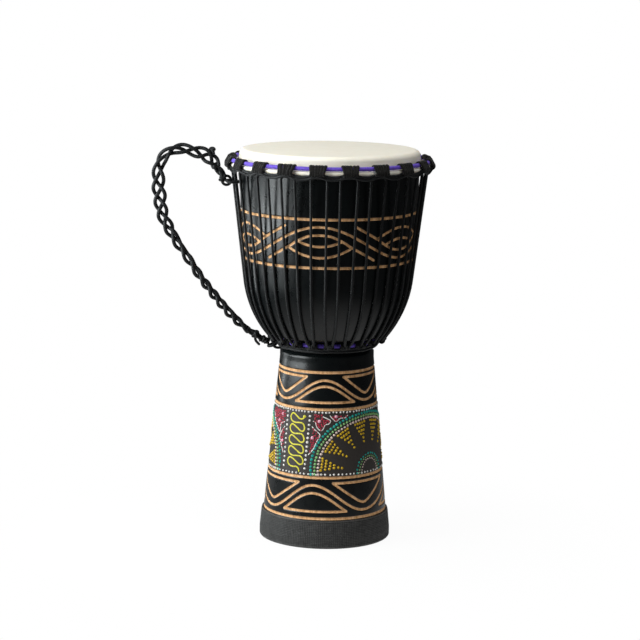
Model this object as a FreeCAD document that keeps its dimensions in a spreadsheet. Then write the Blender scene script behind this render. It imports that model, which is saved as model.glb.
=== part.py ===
import FreeCAD, Part
import math
import os
import Sketcher

# Rope-tuned goblet drum (djembe).  Millimetres, +Z up.
# Origin: centre of the rubber foot's underside, on the floor.
# Angles about Z are measured from the front (-Y) towards +X.

DIMENSIONS = {
    "drum_height": 600.0,
    "clearance": 0.15,
    # outside of the wooden shell
    "edge_radius": 129.5,
    "edge_round": 7.0,
    "bowl_side_round": 1600.0,
    "belly_radius": 125.8,
    "belly_height": 400.6,
    "belly_round": 162.8,
    "bowl_foot_radius": 92.1,
    "bowl_foot_height": 319.4,
    "shoulder_radius": 88.5,
    "shoulder_height": 316.9,
    "neck_radius": 66.3,
    "neck_top": 310.9,
    "neck_round": 6.0,
    "neck_low": 296.0,
    "collar_radius": 72.2,
    "collar_high": 290.0,
    "collar_low": 281.0,
    "ankle_radius": 94.9,
    "ankle_height": 43.0,
    "base_radius": 96.5,
    "base_height": 6.1,
    # inside of the wooden shell
    "rim_radius": 127.5,
    "mouth_radius": 119.0,
    "mouth_height": 588.0,
    "cavity_radius": 108.0,
    "cavity_height": 402.0,
    "cavity_round": 900.0,
    "bowl_floor_radius": 82.0,
    "bowl_floor_height": 338.0,
    "bowl_floor_round": 150.0,
    "throat_radius": 50.0,
    "throat_height": 305.0,
    "bell_radius": 78.0,
    # carved ring lines
    "carve_width": 4.0,
    "carve_depth": 1.2,
    "carve_overrun": 4.0,
    "carve_bowl_high": 507.5,
    "carve_bowl_high_radius": 134.4,
    "carve_bowl_low": 434.9,
    "carve_bowl_low_radius": 129.4,
    "carve_stem_high": 267.5,
    "carve_paint_high": 211.6,
    "carve_paint_low": 108.2,
    "carve_stem_low": 45.9,
    # rubber foot
    "foot_top_radius": 97.3,
    "foot_top_height": 42.8,
    "foot_wide_radius": 100.5,
    "foot_wide_height": 13.5,
    "foot_flange_radius": 74.0,
    "foot_round": 3.0,
    # goatskin head, folded round the flesh ring
    "skin_thickness": 1.0,
    "skin_gap": 0.1,
    "skin_flare_angle": 35.0,
    "skin_wall_lean": 0.7,
    "flesh_ring_radius": 149.6,
    "flesh_ring_height": 576.7,
    "flesh_rod_radius": 2.5,
    # crown ring and bottom ring: steel rods in a cloth wrap
    "ring_rod_radius": 2.4,
    "crown_ring_radius": 150.5,
    "crown_ring_height": 583.8,
    "crown_wrap_radius": 3.15,
    "wrap_slack": 0.05,
    "bottom_ring_radius": 75.2,
    "bottom_ring_height": 308.6,
    "bottom_wrap_radius": 3.1,
    # ropes that run round the drum
    "rope_radius": 2.1,
    "run_rope_radius": 1.9,
    "run_ring_radius": 153.2,
    "run_high": 571.9,
    "run_low": 568.0,
    "waist_ring_radius": 74.4,
    "waist_high": 303.2,
    "waist_low": 299.2,
    # hitches over the crown ring and the bottom ring
    "hitch_count": 20.0,
    "first_hitch_angle": -6.8,
    "crown_hitch_sweep": 8.4,
    "crown_hitch_thickness": 3.2,
    "crown_hitch_bottom": 562.6,
    "crown_hitch_toe": 151.2,
    "bottom_hitch_sweep": 9.6,
    "bottom_hitch_thickness": 3.4,
    "bottom_hitch_lip": 0.2,
    "bottom_link_sweep": 2.7,
    "bottom_link_thickness": 2.9,
    # legs of the tension rope
    "leg_half_angle": 4.5,
    "leg_top_height": 570.5,
    "leg_foot_height": 309.5,
    "leg_top_round": 6.0,
    "leg_foot_round": 2.9,
    # carry handle
    "handle_angle": -78.8,
    "handle_radius": 7.0,
    "hinge_top_radius": 157.37,
    "hinge_top_height": 551.5,
    "hinge_low_radius": 84.0,
    "hinge_low_height": 300.0,
    "upper_eye_radius": 6.7,
    "upper_eye_offset": 1.6,
    "lower_eye_radius": 6.4,
    "lower_eye_offset": 1.6,
    "knot_narrow_radius": 4.2,
    "knot_wide_radius": 6.4,
    "lash_turn_round": 4.6,
}

# The handle's bends take up this share of the shorter run beside them.
BEND_SHARE = 0.45
# A swept rope may differ this much from section times length.
SWEEP_TOLERANCE = 0.01
# Height of the cylinder that keeps the cradle links clear of the bottom hitches.
KEEP_OUT_HEIGHT = 60.0

doc = FreeCAD.newDocument("djembe")
sheet = doc.addObject("Spreadsheet::Sheet", "dims")
for row, (alias, number) in enumerate(DIMENSIONS.items(), start=1):
    sheet.set(f"A{row}", alias)
    sheet.set(f"B{row}", str(number))
    sheet.setAlias(f"B{row}", alias)
doc.recompute()


class Dim:
    """A size that knows its number and its expression on the sheet."""

    def __init__(self, text, value):
        self.text = text
        self.value = value

    def joined(self, other, sign, value):
        other_text = other.text if isinstance(other, Dim) else str(other)
        return Dim(f"({self.text} {sign} {other_text})", value)

    def __add__(self, other):
        return self.joined(other, "+", self.value + number_of(other))

    def __sub__(self, other):
        return self.joined(other, "-", self.value - number_of(other))

    def __mul__(self, other):
        return self.joined(other, "*", self.value * number_of(other))

    def __truediv__(self, other):
        return self.joined(other, "/", self.value / number_of(other))


def number_of(size):
    return size.value if isinstance(size, Dim) else float(size)


def dim(alias):
    return Dim(f"dims.{alias}", DIMENSIONS[alias])


def sine(angle):
    return Dim(f"sin({angle.text} * 1 deg)", math.sin(math.radians(angle.value)))


def cosine(angle):
    return Dim(f"cos({angle.text} * 1 deg)", math.cos(math.radians(angle.value)))


# ---------------------------------------------------------------- building blocks
Vector = FreeCAD.Vector
UP = Vector(0, 0, 1)


def facing(angle):
    """Placement that turns a part built along +X to face an angle from the front."""
    return FreeCAD.Placement(Vector(0, 0, 0), FreeCAD.Rotation(UP, angle - 90.0))


def origin_plane(body, role):
    return next(item for item in body.Origin.OriginFeatures if item.Role == role)


def bind(item, name, size):
    item.setExpression(name, size.text)


def bulging_arc(start, end, radius, right):
    """Minor arc between two corners that bulges to the right or left of the way there.

    It always runs anticlockwise, so one that bulges left runs from end to start.
    """
    chord = end - start
    side = Vector(chord.y, -chord.x, 0).normalize() * (1 if right else -1)
    rise = radius - math.sqrt(radius ** 2 - (chord.Length / 2) ** 2)
    middle = (start + end) * 0.5 + side * rise
    return Part.Arc(start, middle, end) if right else Part.Arc(end, middle, start)


def bind_corner(sketch, kind, axis, edge, end, size):
    """Fix one coordinate of a corner, or put it on the axis when the size is zero."""
    if number_of(size) == 0:
        sketch.addConstraint(Sketcher.Constraint("PointOnObject", edge, end, axis))
        return
    number = sketch.addConstraint(Sketcher.Constraint(kind, -1, 1, edge, end, number_of(size)))
    bind(sketch, f"Constraints[{number}]", size)


def profile(body, name, corners):
    """Closed sketch in the radial plane.

    Each corner is (radius, height) or (radius, height, arc radius, "right" or "left"), where
    the arc leads to the next corner and bulges to that side of the way there.
    """
    sketch = body.newObject("Sketcher::SketchObject", name)
    sketch.AttachmentSupport = [(origin_plane(body, "XZ_Plane"), "")]
    sketch.MapMode = "FlatFace"
    count = len(corners)
    points = [Vector(number_of(corner[0]), number_of(corner[1]), 0) for corner in corners]
    ends = []
    for index, corner in enumerate(corners):
        start = points[index]
        end = points[(index + 1) % count]
        if len(corner) == 2:
            sketch.addGeometry(Part.LineSegment(start, end), False)
            ends.append((1, 2))
        else:
            right = corner[3] == "right"
            sketch.addGeometry(bulging_arc(start, end, number_of(corner[2]), right), False)
            ends.append((1, 2) if right else (2, 1))
    for index in range(count):
        after = (index + 1) % count
        sketch.addConstraint(Sketcher.Constraint("Coincident", index, ends[index][1],
                                                 after, ends[after][0]))
    for index, corner in enumerate(corners):
        bind_corner(sketch, "DistanceX", -2, index, ends[index][0], corner[0])
        bind_corner(sketch, "DistanceY", -1, index, ends[index][0], corner[1])
        if len(corner) > 2:
            number = sketch.addConstraint(Sketcher.Constraint("Radius", index, number_of(corner[2])))
            bind(sketch, f"Constraints[{number}]", corner[2])
    return sketch


def new_body(label):
    body = doc.addObject("PartDesign::Body", label)
    body.Label = label
    return body


def turned(body, sketch, kind="PartDesign::Revolution", sweep=None):
    """Turn a sketch about Z, all round or over a sweep centred on the sketch."""
    feature = body.newObject(kind, f"{sketch.Name}_turned")
    feature.Profile = sketch
    feature.ReferenceAxis = (sketch, ["V_Axis"])
    if sweep is None:
        feature.Angle = 360
    else:
        feature.Midplane = True
        feature.Angle = number_of(sweep)
        bind(feature, "Angle", sweep)
    return feature


def torus(label, ring_radius, rod_radius, height):
    """Ring about Z; the caller may give it another Placement and leave height out."""
    ring = doc.addObject("Part::Torus", label)
    ring.Label = label
    bind(ring, "Radius1", ring_radius)
    bind(ring, "Radius2", rod_radius)
    if height is not None:
        bind(ring, "Placement.Base.z", height)
    return ring


def cut(label, base, tool):
    result = doc.addObject("Part::Cut", label)
    result.Base = base
    result.Tool = tool
    result.Label = label
    return result


def rounded_route(name, points, rounds):
    """Wire of straight runs joined by tangent arcs; rounds[i] belongs to points[i + 1]."""
    edges = []
    here = points[0]
    for corner, before, after, radius in zip(points[1:-1], points, points[2:], rounds):
        back = (before - corner).normalize()
        ahead = (after - corner).normalize()
        half_turn = (math.pi - back.getAngle(ahead)) / 2
        begin = corner + back * (radius * math.tan(half_turn))
        finish = corner + ahead * (radius * math.tan(half_turn))
        inward = (back + ahead).normalize()
        middle = corner + inward * (radius / math.cos(half_turn) - radius)
        edges.append(Part.LineSegment(here, begin).toShape())
        edges.append(Part.Arc(begin, middle, finish).toShape())
        here = finish
    edges.append(Part.LineSegment(here, points[-1]).toShape())
    wire = Part.Wire(edges)
    print(f"{name}: {wire.Length:.0f} mm long, arcs", ", ".join(f"{radius:.0f}" for radius in rounds))
    return wire


def swept_rope(name, path, radius):
    """Round rope along a wire, its volume compared with section times length."""
    first = path.Edges[0]
    start = first.valueAt(first.FirstParameter)
    section = Part.Wire(Part.makeCircle(radius, start, first.tangentAt(first.FirstParameter)))
    rope = path.makePipeShell([section], True, False)
    ratio = rope.Volume / (math.pi * radius ** 2 * path.Length)
    if not rope.isValid() or abs(ratio - 1) > SWEEP_TOLERANCE:
        raise RuntimeError(f"{name}: swept rope has volume ratio {ratio:.4f}")
    return rope


def closed_loop(name, corners, corner_round):
    """Closed loop of rope, cut where its last run is half-way."""
    start = (corners[0] + corners[-1]) * 0.5
    path = rounded_route(name, [start] + corners + [start], [corner_round] * len(corners))
    return swept_rope(name, path, DIMENSIONS["rope_radius"])


def shape_feature(label, shape, placement):
    feature = doc.addObject("Part::Feature", label)
    feature.Label = label
    feature.Shape = shape
    feature.Placement = placement
    return feature


nodes = []


def node(item):
    nodes.append(item)
    return item


# ---------------------------------------------------------------- wooden shell
gap = dim("clearance")
edge_radius = dim("edge_radius")
edge_round = dim("edge_round")
wood_top = dim("drum_height") - dim("skin_thickness") - dim("skin_gap")
wall_top = wood_top - edge_round

shell = node(new_body("shell"))
shell_sketch = profile(shell, "shell_profile", [
    (dim("bell_radius"), dim("base_height")),
    (dim("base_radius"), dim("base_height")),
    (dim("ankle_radius"), dim("ankle_height")),
    (dim("collar_radius"), dim("collar_low")),
    (dim("collar_radius"), dim("collar_high")),
    (dim("neck_radius"), dim("neck_low")),
    (dim("neck_radius"), dim("neck_top"), dim("neck_round"), "left"),
    (dim("neck_radius") + dim("neck_round"), dim("shoulder_height")),
    (dim("shoulder_radius"), dim("shoulder_height")),
    (dim("bowl_foot_radius"), dim("bowl_foot_height"), dim("belly_round"), "right"),
    (dim("belly_radius"), dim("belly_height"), dim("bowl_side_round"), "right"),
    (edge_radius + edge_round, wall_top, edge_round, "right"),
    (edge_radius, wood_top),
    (dim("rim_radius"), wood_top),
    (dim("mouth_radius"), dim("mouth_height"), dim("cavity_round"), "left"),
    (dim("cavity_radius"), dim("cavity_height"), dim("bowl_floor_round"), "left"),
    (dim("bowl_floor_radius"), dim("bowl_floor_height")),
    (dim("throat_radius"), dim("throat_height")),
])
turned(shell, shell_sketch)
doc.recompute()
plain_shell_volume = shell.Shape.Volume


def stem_radius(height):
    """Outside radius of the straight cone between ankle and collar."""
    slope = (dim("collar_radius") - dim("ankle_radius")) / (dim("collar_low") - dim("ankle_height"))
    return dim("ankle_radius") + slope * (height - dim("ankle_height"))


def carve_ring(name, radius, height):
    """Square-bottomed ring line cut into the shell."""
    half = dim("carve_width") / 2
    outside = radius + dim("carve_overrun")
    floor = radius - dim("carve_depth")
    sketch = profile(shell, name, [
        (floor, height - half),
        (outside, height - half),
        (outside, height + half),
        (floor, height + half),
    ])
    turned(shell, sketch, "PartDesign::Groove")


for line in ("carve_bowl_high", "carve_bowl_low"):
    carve_ring(line, dim(f"{line}_radius"), dim(line))
for line in ("carve_stem_high", "carve_paint_high", "carve_paint_low", "carve_stem_low"):
    carve_ring(line, stem_radius(dim(line)), dim(line))

# ---------------------------------------------------------------- rubber foot
foot = node(new_body("rubber_foot"))
foot_round = dim("foot_round")
foot_sketch = profile(foot, "foot_profile", [
    (dim("foot_flange_radius"), Dim("0", 0.0)),
    (dim("foot_wide_radius") - foot_round, Dim("0", 0.0), foot_round, "right"),
    (dim("foot_wide_radius"), foot_round),
    (dim("foot_wide_radius"), dim("foot_wide_height")),
    (dim("foot_top_radius"), dim("foot_top_height")),
    (dim("ankle_radius") + gap, dim("foot_top_height")),
    (dim("base_radius") + gap, dim("base_height")),
    (dim("base_radius") + gap, dim("base_height") - gap),
    (dim("foot_flange_radius"), dim("base_height") - gap),
])
turned(foot, foot_sketch)

# ---------------------------------------------------------------- goatskin head
skin = dim("skin_thickness")
skin_gap = dim("skin_gap")
flare = dim("skin_flare_angle")
flesh_radius = dim("flesh_ring_radius")
flesh_height = dim("flesh_ring_height")
fold_inner = dim("flesh_rod_radius") + dim("wrap_slack")
fold_outer = fold_inner + skin
skin_in = edge_radius + edge_round + skin_gap
skin_out = skin_in + skin
lean = dim("skin_wall_lean")
head_top = dim("drum_height")


def flare_start(fold, wall):
    """Height where the flare towards the flesh ring leaves the skin's wall."""
    touch_radius = flesh_radius - fold * sine(flare)
    touch_height = flesh_height - fold * cosine(flare)
    return touch_height + (touch_radius - wall) * sine(flare) / cosine(flare)


head = node(new_body("drumhead"))
head_sketch = profile(head, "head_profile", [
    (Dim("0", 0.0), head_top - skin),
    (edge_radius, head_top - skin, edge_round + skin_gap, "left"),
    (skin_in, wall_top),
    (skin_in + lean, flare_start(fold_outer, skin_in + lean)),
    (flesh_radius - fold_outer * sine(flare), flesh_height - fold_outer * cosine(flare),
     fold_outer, "right"),
    (flesh_radius + fold_outer, flesh_height, fold_outer, "right"),
    (flesh_radius, flesh_height + fold_outer),
    (flesh_radius, flesh_height + fold_inner, fold_inner, "left"),
    (flesh_radius + fold_inner, flesh_height, fold_inner, "left"),
    (flesh_radius - fold_inner * sine(flare), flesh_height - fold_inner * cosine(flare)),
    (skin_out + lean, flare_start(fold_inner, skin_out + lean)),
    (skin_out, wall_top, edge_round + skin_gap + skin, "right"),
    (edge_radius, head_top),
    (Dim("0", 0.0), head_top),
])
turned(head, head_sketch)

# ---------------------------------------------------------------- rings
node(torus("flesh_ring", flesh_radius, dim("flesh_rod_radius"), flesh_height))


def wrapped_ring(name, radius, height, wrap_radius):
    """Steel ring and the tube of cloth wound round it."""
    node(torus(f"{name}_ring", radius, dim("ring_rod_radius"), height))
    outside = torus(f"{name}_wrap_outside", radius, wrap_radius, height)
    inside_radius = dim("ring_rod_radius") + dim("wrap_slack")
    inside = torus(f"{name}_wrap_inside", radius, inside_radius, height)
    node(cut(f"{name}_ring_wrap", outside, inside))


wrapped_ring("crown", dim("crown_ring_radius"), dim("crown_ring_height"), dim("crown_wrap_radius"))
wrapped_ring("bottom", dim("bottom_ring_radius"), dim("bottom_ring_height"),
             dim("bottom_wrap_radius"))

run_rope = dim("run_rope_radius")
node(torus("upper_run_rope_1", dim("run_ring_radius"), run_rope, dim("run_high")))
node(torus("upper_run_rope_2", dim("run_ring_radius"), run_rope, dim("run_low")))
node(torus("waist_rope_1", dim("waist_ring_radius"), run_rope, dim("waist_high")))
node(torus("waist_rope_2", dim("waist_ring_radius"), run_rope, dim("waist_low")))

# ---------------------------------------------------------------- hitches
HITCHES = int(DIMENSIONS["hitch_count"])
HITCH_STEP = 360.0 / HITCHES
FIRST_HITCH = DIMENSIONS["first_hitch_angle"]


def repeat_round(body, features):
    pattern = body.newObject("PartDesign::PolarPattern", f"{body.Name}_pattern")
    pattern.Originals = features
    pattern.Axis = (features[0].Profile[0], ["V_Axis"])
    pattern.Angle = 360
    pattern.Occurrences = HITCHES
    bind(pattern, "Occurrences", dim("hitch_count"))
    body.Tip = pattern


# A crown hitch hooks over the crown ring, comes down outside the run ropes and curls under them.
ring_x = dim("crown_ring_radius")
ring_z = dim("crown_ring_height")
hook_in = dim("crown_wrap_radius") + gap
hook_out = hook_in + dim("crown_hitch_thickness")
leg_in = dim("run_ring_radius") + run_rope + gap
leg_out = leg_in + dim("crown_hitch_thickness")
curl_top = dim("run_low") - run_rope - gap

crown_hitches = node(new_body("crown_hitches"))
crown_hitch_sketch = profile(crown_hitches, "crown_hitch_profile", [
    (dim("crown_hitch_toe"), dim("crown_hitch_bottom")),
    (leg_out, dim("crown_hitch_bottom")),
    (leg_out, ring_z - hook_out),
    (ring_x + hook_out, ring_z, hook_out, "right"),
    (ring_x, ring_z + hook_out, hook_out, "right"),
    (ring_x - hook_out, ring_z),
    (ring_x - hook_in, ring_z, hook_in, "left"),
    (ring_x, ring_z + hook_in, hook_in, "left"),
    (ring_x + hook_in, ring_z),
    (leg_in, ring_z - hook_out),
    (leg_in, curl_top),
    (dim("crown_hitch_toe"), curl_top),
])
crown_hook = turned(crown_hitches, crown_hitch_sketch, sweep=dim("crown_hitch_sweep"))
repeat_round(crown_hitches, [crown_hook])
crown_hitches.Placement = facing(FIRST_HITCH)

# A bottom hitch is wound round the bottom ring, with a link out to one foot of the tension rope.
low_x = dim("bottom_ring_radius")
low_z = dim("bottom_ring_height")
wind_in = dim("bottom_wrap_radius") + gap
wind_out = wind_in + dim("bottom_hitch_thickness")

bottom_hitches = node(new_body("bottom_hitches"))
bottom_hitch_sketch = profile(bottom_hitches, "bottom_hitch_profile", [
    (low_x + wind_in, low_z - dim("bottom_hitch_lip")),
    (low_x + wind_out, low_z - dim("bottom_hitch_lip")),
    (low_x + wind_out, low_z, wind_out, "right"),
    (low_x, low_z + wind_out, wind_out, "right"),
    (low_x - wind_out, low_z),
    (low_x - wind_in, low_z, wind_in, "left"),
    (low_x, low_z + wind_in, wind_in, "left"),
    (low_x + wind_in, low_z),
])
bottom_wind = turned(bottom_hitches, bottom_hitch_sketch, sweep=dim("bottom_hitch_sweep"))
repeat_round(bottom_hitches, [bottom_wind])
bottom_hitches.Placement = facing(FIRST_HITCH + HITCH_STEP / 2)


# ---------------------------------------------------------------- tension rope
def radial_point(radius, angle, height):
    turn = math.radians(angle)
    return Vector(radius * math.cos(turn), radius * math.sin(turn), height)


def leg_corners():
    """Top, bend and foot of a leg as (radius, height), which rests on the bowl's belly."""
    belly = Vector(DIMENSIONS["belly_radius"], DIMENSIONS["belly_height"], 0)
    low = Vector(DIMENSIONS["bowl_foot_radius"], DIMENSIONS["bowl_foot_height"], 0)
    belly_round = DIMENSIONS["belly_round"]
    chord = belly - low
    inward = Vector(-chord.y, chord.x, 0).normalize()
    centre = (belly + low) * 0.5 + inward * math.sqrt(belly_round ** 2 - (chord.Length / 2) ** 2)
    offset = DIMENSIONS["rope_radius"] + DIMENSIONS["clearance"]
    high_out = (belly - centre).normalize()
    low_out = (low - centre).normalize()
    high_point = belly + high_out * offset
    high_way = Vector(-high_out.y, high_out.x, 0)
    low_point = low + low_out * offset
    low_way = Vector(low_out.y, -low_out.x, 0)
    half_turn = high_out.getAngle(low_out) / 2
    bend = high_point - high_way * ((belly_round + offset) * math.tan(half_turn))
    top_height = DIMENSIONS["leg_top_height"]
    foot_height = DIMENSIONS["leg_foot_height"]
    top = high_point + high_way * ((top_height - high_point.y) / high_way.y)
    foot_point = low_point + low_way * ((foot_height - low_point.y) / low_way.y)
    return top, bend, foot_point, belly_round + offset


LEG_TOP, LEG_BEND, LEG_FOOT, LEG_BEND_ROUND = leg_corners()
print(f"legs: top {LEG_TOP.x:.1f}, bend {LEG_BEND.x:.1f} {LEG_BEND.y:.1f}, foot {LEG_FOOT.x:.1f}")
HALF_LEG = DIMENSIONS["leg_half_angle"]
FOOT_MIDDLE = LEG_FOOT.x * math.cos(math.radians(HITCH_STEP / 2 - HALF_LEG))


def leg_pair():
    """Two legs under one crown hitch, from one foot's middle to the next foot's middle."""
    left = [radial_point(corner.x, -HALF_LEG, corner.y) for corner in (LEG_FOOT, LEG_BEND, LEG_TOP)]
    right = [radial_point(corner.x, HALF_LEG, corner.y) for corner in (LEG_TOP, LEG_BEND, LEG_FOOT)]
    half_gap = HITCH_STEP / 2
    start = radial_point(FOOT_MIDDLE, -half_gap, LEG_FOOT.y)
    end = radial_point(FOOT_MIDDLE, half_gap, LEG_FOOT.y)
    foot_turn = DIMENSIONS["leg_foot_round"]
    top_turn = DIMENSIONS["leg_top_round"]
    rounds = [foot_turn, LEG_BEND_ROUND, top_turn, top_turn, LEG_BEND_ROUND, foot_turn]
    path = rounded_route("leg pair", [start] + left + right + [end], rounds)
    return swept_rope("leg pair", path, DIMENSIONS["rope_radius"])


def copies_round(shape, first_angle):
    copies = []
    for index in range(HITCHES):
        copy = shape.copy()
        copy.Placement = facing(first_angle + index * HITCH_STEP)
        copies.append(copy)
    return Part.makeCompound(copies)


node(shape_feature("tension_rope", copies_round(leg_pair(), FIRST_HITCH), FreeCAD.Placement()))


def cradle_link():
    """Small ring of rope round one foot of the tension rope."""
    reach = DIMENSIONS["rope_radius"] + DIMENSIONS["clearance"]
    thickness = DIMENSIONS["bottom_link_thickness"]
    width = 2 * FOOT_MIDDLE * math.sin(math.radians(DIMENSIONS["bottom_link_sweep"] / 2))
    start = Vector(FOOT_MIDDLE, -width / 2, LEG_FOOT.y)
    along = Vector(0, 1, 0)
    outside = Part.makeCylinder(reach + thickness, width, start, along)
    inside = Part.makeCylinder(reach, width, start, along)
    ring = outside.cut(inside)
    hitch_edge = DIMENSIONS["bottom_ring_radius"] + wind_out.value + DIMENSIONS["clearance"]
    keep_out_base = Vector(0, 0, LEG_FOOT.y - KEEP_OUT_HEIGHT / 2)
    keep_out = Part.makeCylinder(hitch_edge, KEEP_OUT_HEIGHT, keep_out_base, UP)
    return ring.cut(keep_out)


node(shape_feature("cradle_links", copies_round(cradle_link(), FIRST_HITCH + HITCH_STEP / 2),
                   FreeCAD.Placement()))

# ---------------------------------------------------------------- carry handle
HANDLE_PLACE = facing(DIMENSIONS["handle_angle"])
ROPE = DIMENSIONS["rope_radius"]
GAP = DIMENSIONS["clearance"]
HINGE_TOP = Vector(DIMENSIONS["hinge_top_radius"], 0, DIMENSIONS["hinge_top_height"])
HINGE_LOW = Vector(DIMENSIONS["hinge_low_radius"], 0, DIMENSIONS["hinge_low_height"])
hinge_way = (HINGE_TOP - HINGE_LOW).normalize()


def upper_lashing():
    """Level loop of rope round the two legs beside the handle."""
    height = DIMENSIONS["hinge_top_height"]
    way = (LEG_TOP - LEG_BEND).normalize()
    leg_radius = LEG_BEND.x + way.x * (height - LEG_BEND.y) / way.y
    legs = radial_point(leg_radius, HALF_LEG, height)
    side = legs.y + 2 * ROPE + 2 * GAP
    back = legs.x - 2 * ROPE - 2 * GAP
    front = HINGE_TOP.x
    corners = [Vector(front, side, height), Vector(back, side, height),
               Vector(back, -side, height), Vector(front, -side, height)]
    return closed_loop("upper lashing", corners, DIMENSIONS["lash_turn_round"])


def lower_lashing():
    """Upright loop of rope round the bottom ring and the two waist ropes."""
    reach = 2 * GAP + ROPE
    ring_edge = DIMENSIONS["bottom_wrap_radius"]
    top = DIMENSIONS["bottom_ring_height"] + ring_edge + reach
    bottom = DIMENSIONS["waist_low"] - DIMENSIONS["run_rope_radius"] - reach
    back = DIMENSIONS["bottom_ring_radius"] - ring_edge - reach
    lean_out = hinge_way.x / hinge_way.z
    front_top = HINGE_LOW.x + lean_out * (top - HINGE_LOW.z)
    front_bottom = HINGE_LOW.x + lean_out * (bottom - HINGE_LOW.z)
    corners = [Vector(front_top, 0, top), Vector(back, 0, top),
               Vector(back, 0, bottom), Vector(front_bottom, 0, bottom)]
    return closed_loop("lower lashing", corners, DIMENSIONS["lash_turn_round"])


node(shape_feature("handle_upper_lashing", upper_lashing(), HANDLE_PLACE))
node(shape_feature("handle_lower_lashing", lower_lashing(), HANDLE_PLACE))

# Route of the braided handle: distance out from the drum's axis, sideways, height.
HANDLE_ROUTE = [
    (174, 0, 574), (182, 0, 589), (206, 1, 597), (232, 2, 603), (252, 2, 594), (264, 1, 573),
    (258, -1, 511), (251, -2, 490), (235, -2, 466), (211, -1, 432), (197, 0, 408),
    (166, 1, 369), (140, 1, 340), (122, 0, 323),
]


def handle_tube():
    points = [Vector(*point) for point in HANDLE_ROUTE]
    rounds = []
    for before, corner, after in zip(points, points[1:], points[2:]):
        shorter = min((corner - before).Length, (after - corner).Length)
        turn = (corner - before).getAngle(after - corner)
        rounds.append(BEND_SHARE * shorter / math.tan(turn / 2))
    path = rounded_route("handle", points, rounds)
    return swept_rope("handle", path, DIMENSIONS["handle_radius"])


node(shape_feature("handle_braid", handle_tube(), HANDLE_PLACE))


def eye(label, radius, centre, axis):
    ring = torus(label, radius, dim("rope_radius"), None)
    turn = FreeCAD.Rotation(UP, axis)
    ring.Placement = HANDLE_PLACE * FreeCAD.Placement(centre, turn)
    return node(ring)


def tapered_knot(label, start, end):
    """Bunched strands between an eye and the braid."""
    knot = doc.addObject("Part::Cone", label)
    knot.Label = label
    bind(knot, "Radius1", dim("knot_narrow_radius"))
    bind(knot, "Radius2", dim("knot_wide_radius"))
    way = end - start
    knot.Height = way.Length
    knot.Placement = HANDLE_PLACE * FreeCAD.Placement(start, FreeCAD.Rotation(UP, way))
    return node(knot)


braid_start = Vector(*HANDLE_ROUTE[0])
braid_end = Vector(*HANDLE_ROUTE[-1])
across = Vector(0, 1, 0)
upper_way = (braid_start - HINGE_TOP).normalize()
upper_eye_centre = HINGE_TOP + upper_way * DIMENSIONS["upper_eye_offset"]
eye("handle_upper_eye", dim("upper_eye_radius"), upper_eye_centre, across)
lower_way = Vector(hinge_way.z, 0, -hinge_way.x)
lower_eye_centre = HINGE_LOW + lower_way * DIMENSIONS["lower_eye_offset"]
eye("handle_lower_eye", dim("lower_eye_radius"), lower_eye_centre, hinge_way)

upper_rim = upper_eye_centre + upper_way * DIMENSIONS["upper_eye_radius"]
tapered_knot("handle_upper_knot", upper_rim, braid_start)
lower_reach = (braid_end - lower_eye_centre).normalize()
lower_rim = lower_eye_centre + lower_reach * DIMENSIONS["lower_eye_radius"]
tapered_knot("handle_lower_knot", lower_rim, braid_end)

print("hinge low", HANDLE_PLACE.multVec(HINGE_LOW), "way",
      HANDLE_PLACE.Rotation.multVec(hinge_way))

# ---------------------------------------------------------------- checks and export
doc.recompute()
for item in doc.Objects:
    if {"Invalid", "Error"} & set(item.State):
        raise RuntimeError(f"{item.Label}: {item.State}")
if shell.Shape.Volume >= plain_shell_volume:
    raise RuntimeError("the carved ring lines cut nothing")
for item in nodes:
    if item.Shape.isNull() or not item.Shape.isValid():
        raise RuntimeError(f"{item.Label}: bad shape")
os.makedirs("parts", exist_ok=True)
for item in nodes:
    item.Shape.exportStep(f"parts/{item.Label}.step")
    box = item.Shape.BoundBox
    print(f"{item.Label}: {len(item.Shape.Solids)} solids, {item.Shape.Volume / 1000:.1f} cm3, "
          f"z {box.ZMin:.1f} to {box.ZMax:.1f}")
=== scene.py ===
import math

import bpy
import numpy as np
from mathutils import Matrix


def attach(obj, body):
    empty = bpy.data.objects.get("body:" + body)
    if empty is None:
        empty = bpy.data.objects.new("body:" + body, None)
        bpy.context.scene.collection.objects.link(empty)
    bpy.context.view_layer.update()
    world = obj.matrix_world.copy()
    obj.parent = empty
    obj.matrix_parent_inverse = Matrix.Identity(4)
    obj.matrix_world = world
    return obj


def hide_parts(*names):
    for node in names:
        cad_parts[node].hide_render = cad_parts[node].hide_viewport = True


# Rope-tuned goblet drum (djembe).  Sizes are in millimetres until a mesh is made.
# Angles about Z are measured from the front (-Y) towards +X.

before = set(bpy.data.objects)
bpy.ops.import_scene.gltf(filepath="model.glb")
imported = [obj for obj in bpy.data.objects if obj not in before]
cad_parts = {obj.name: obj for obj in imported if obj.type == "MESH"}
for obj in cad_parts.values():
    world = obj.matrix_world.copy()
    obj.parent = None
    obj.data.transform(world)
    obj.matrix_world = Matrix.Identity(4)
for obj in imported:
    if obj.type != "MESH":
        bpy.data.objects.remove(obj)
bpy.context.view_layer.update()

MM = 0.001
chance = np.random.default_rng(11)  # the same small unevenness each time

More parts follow.
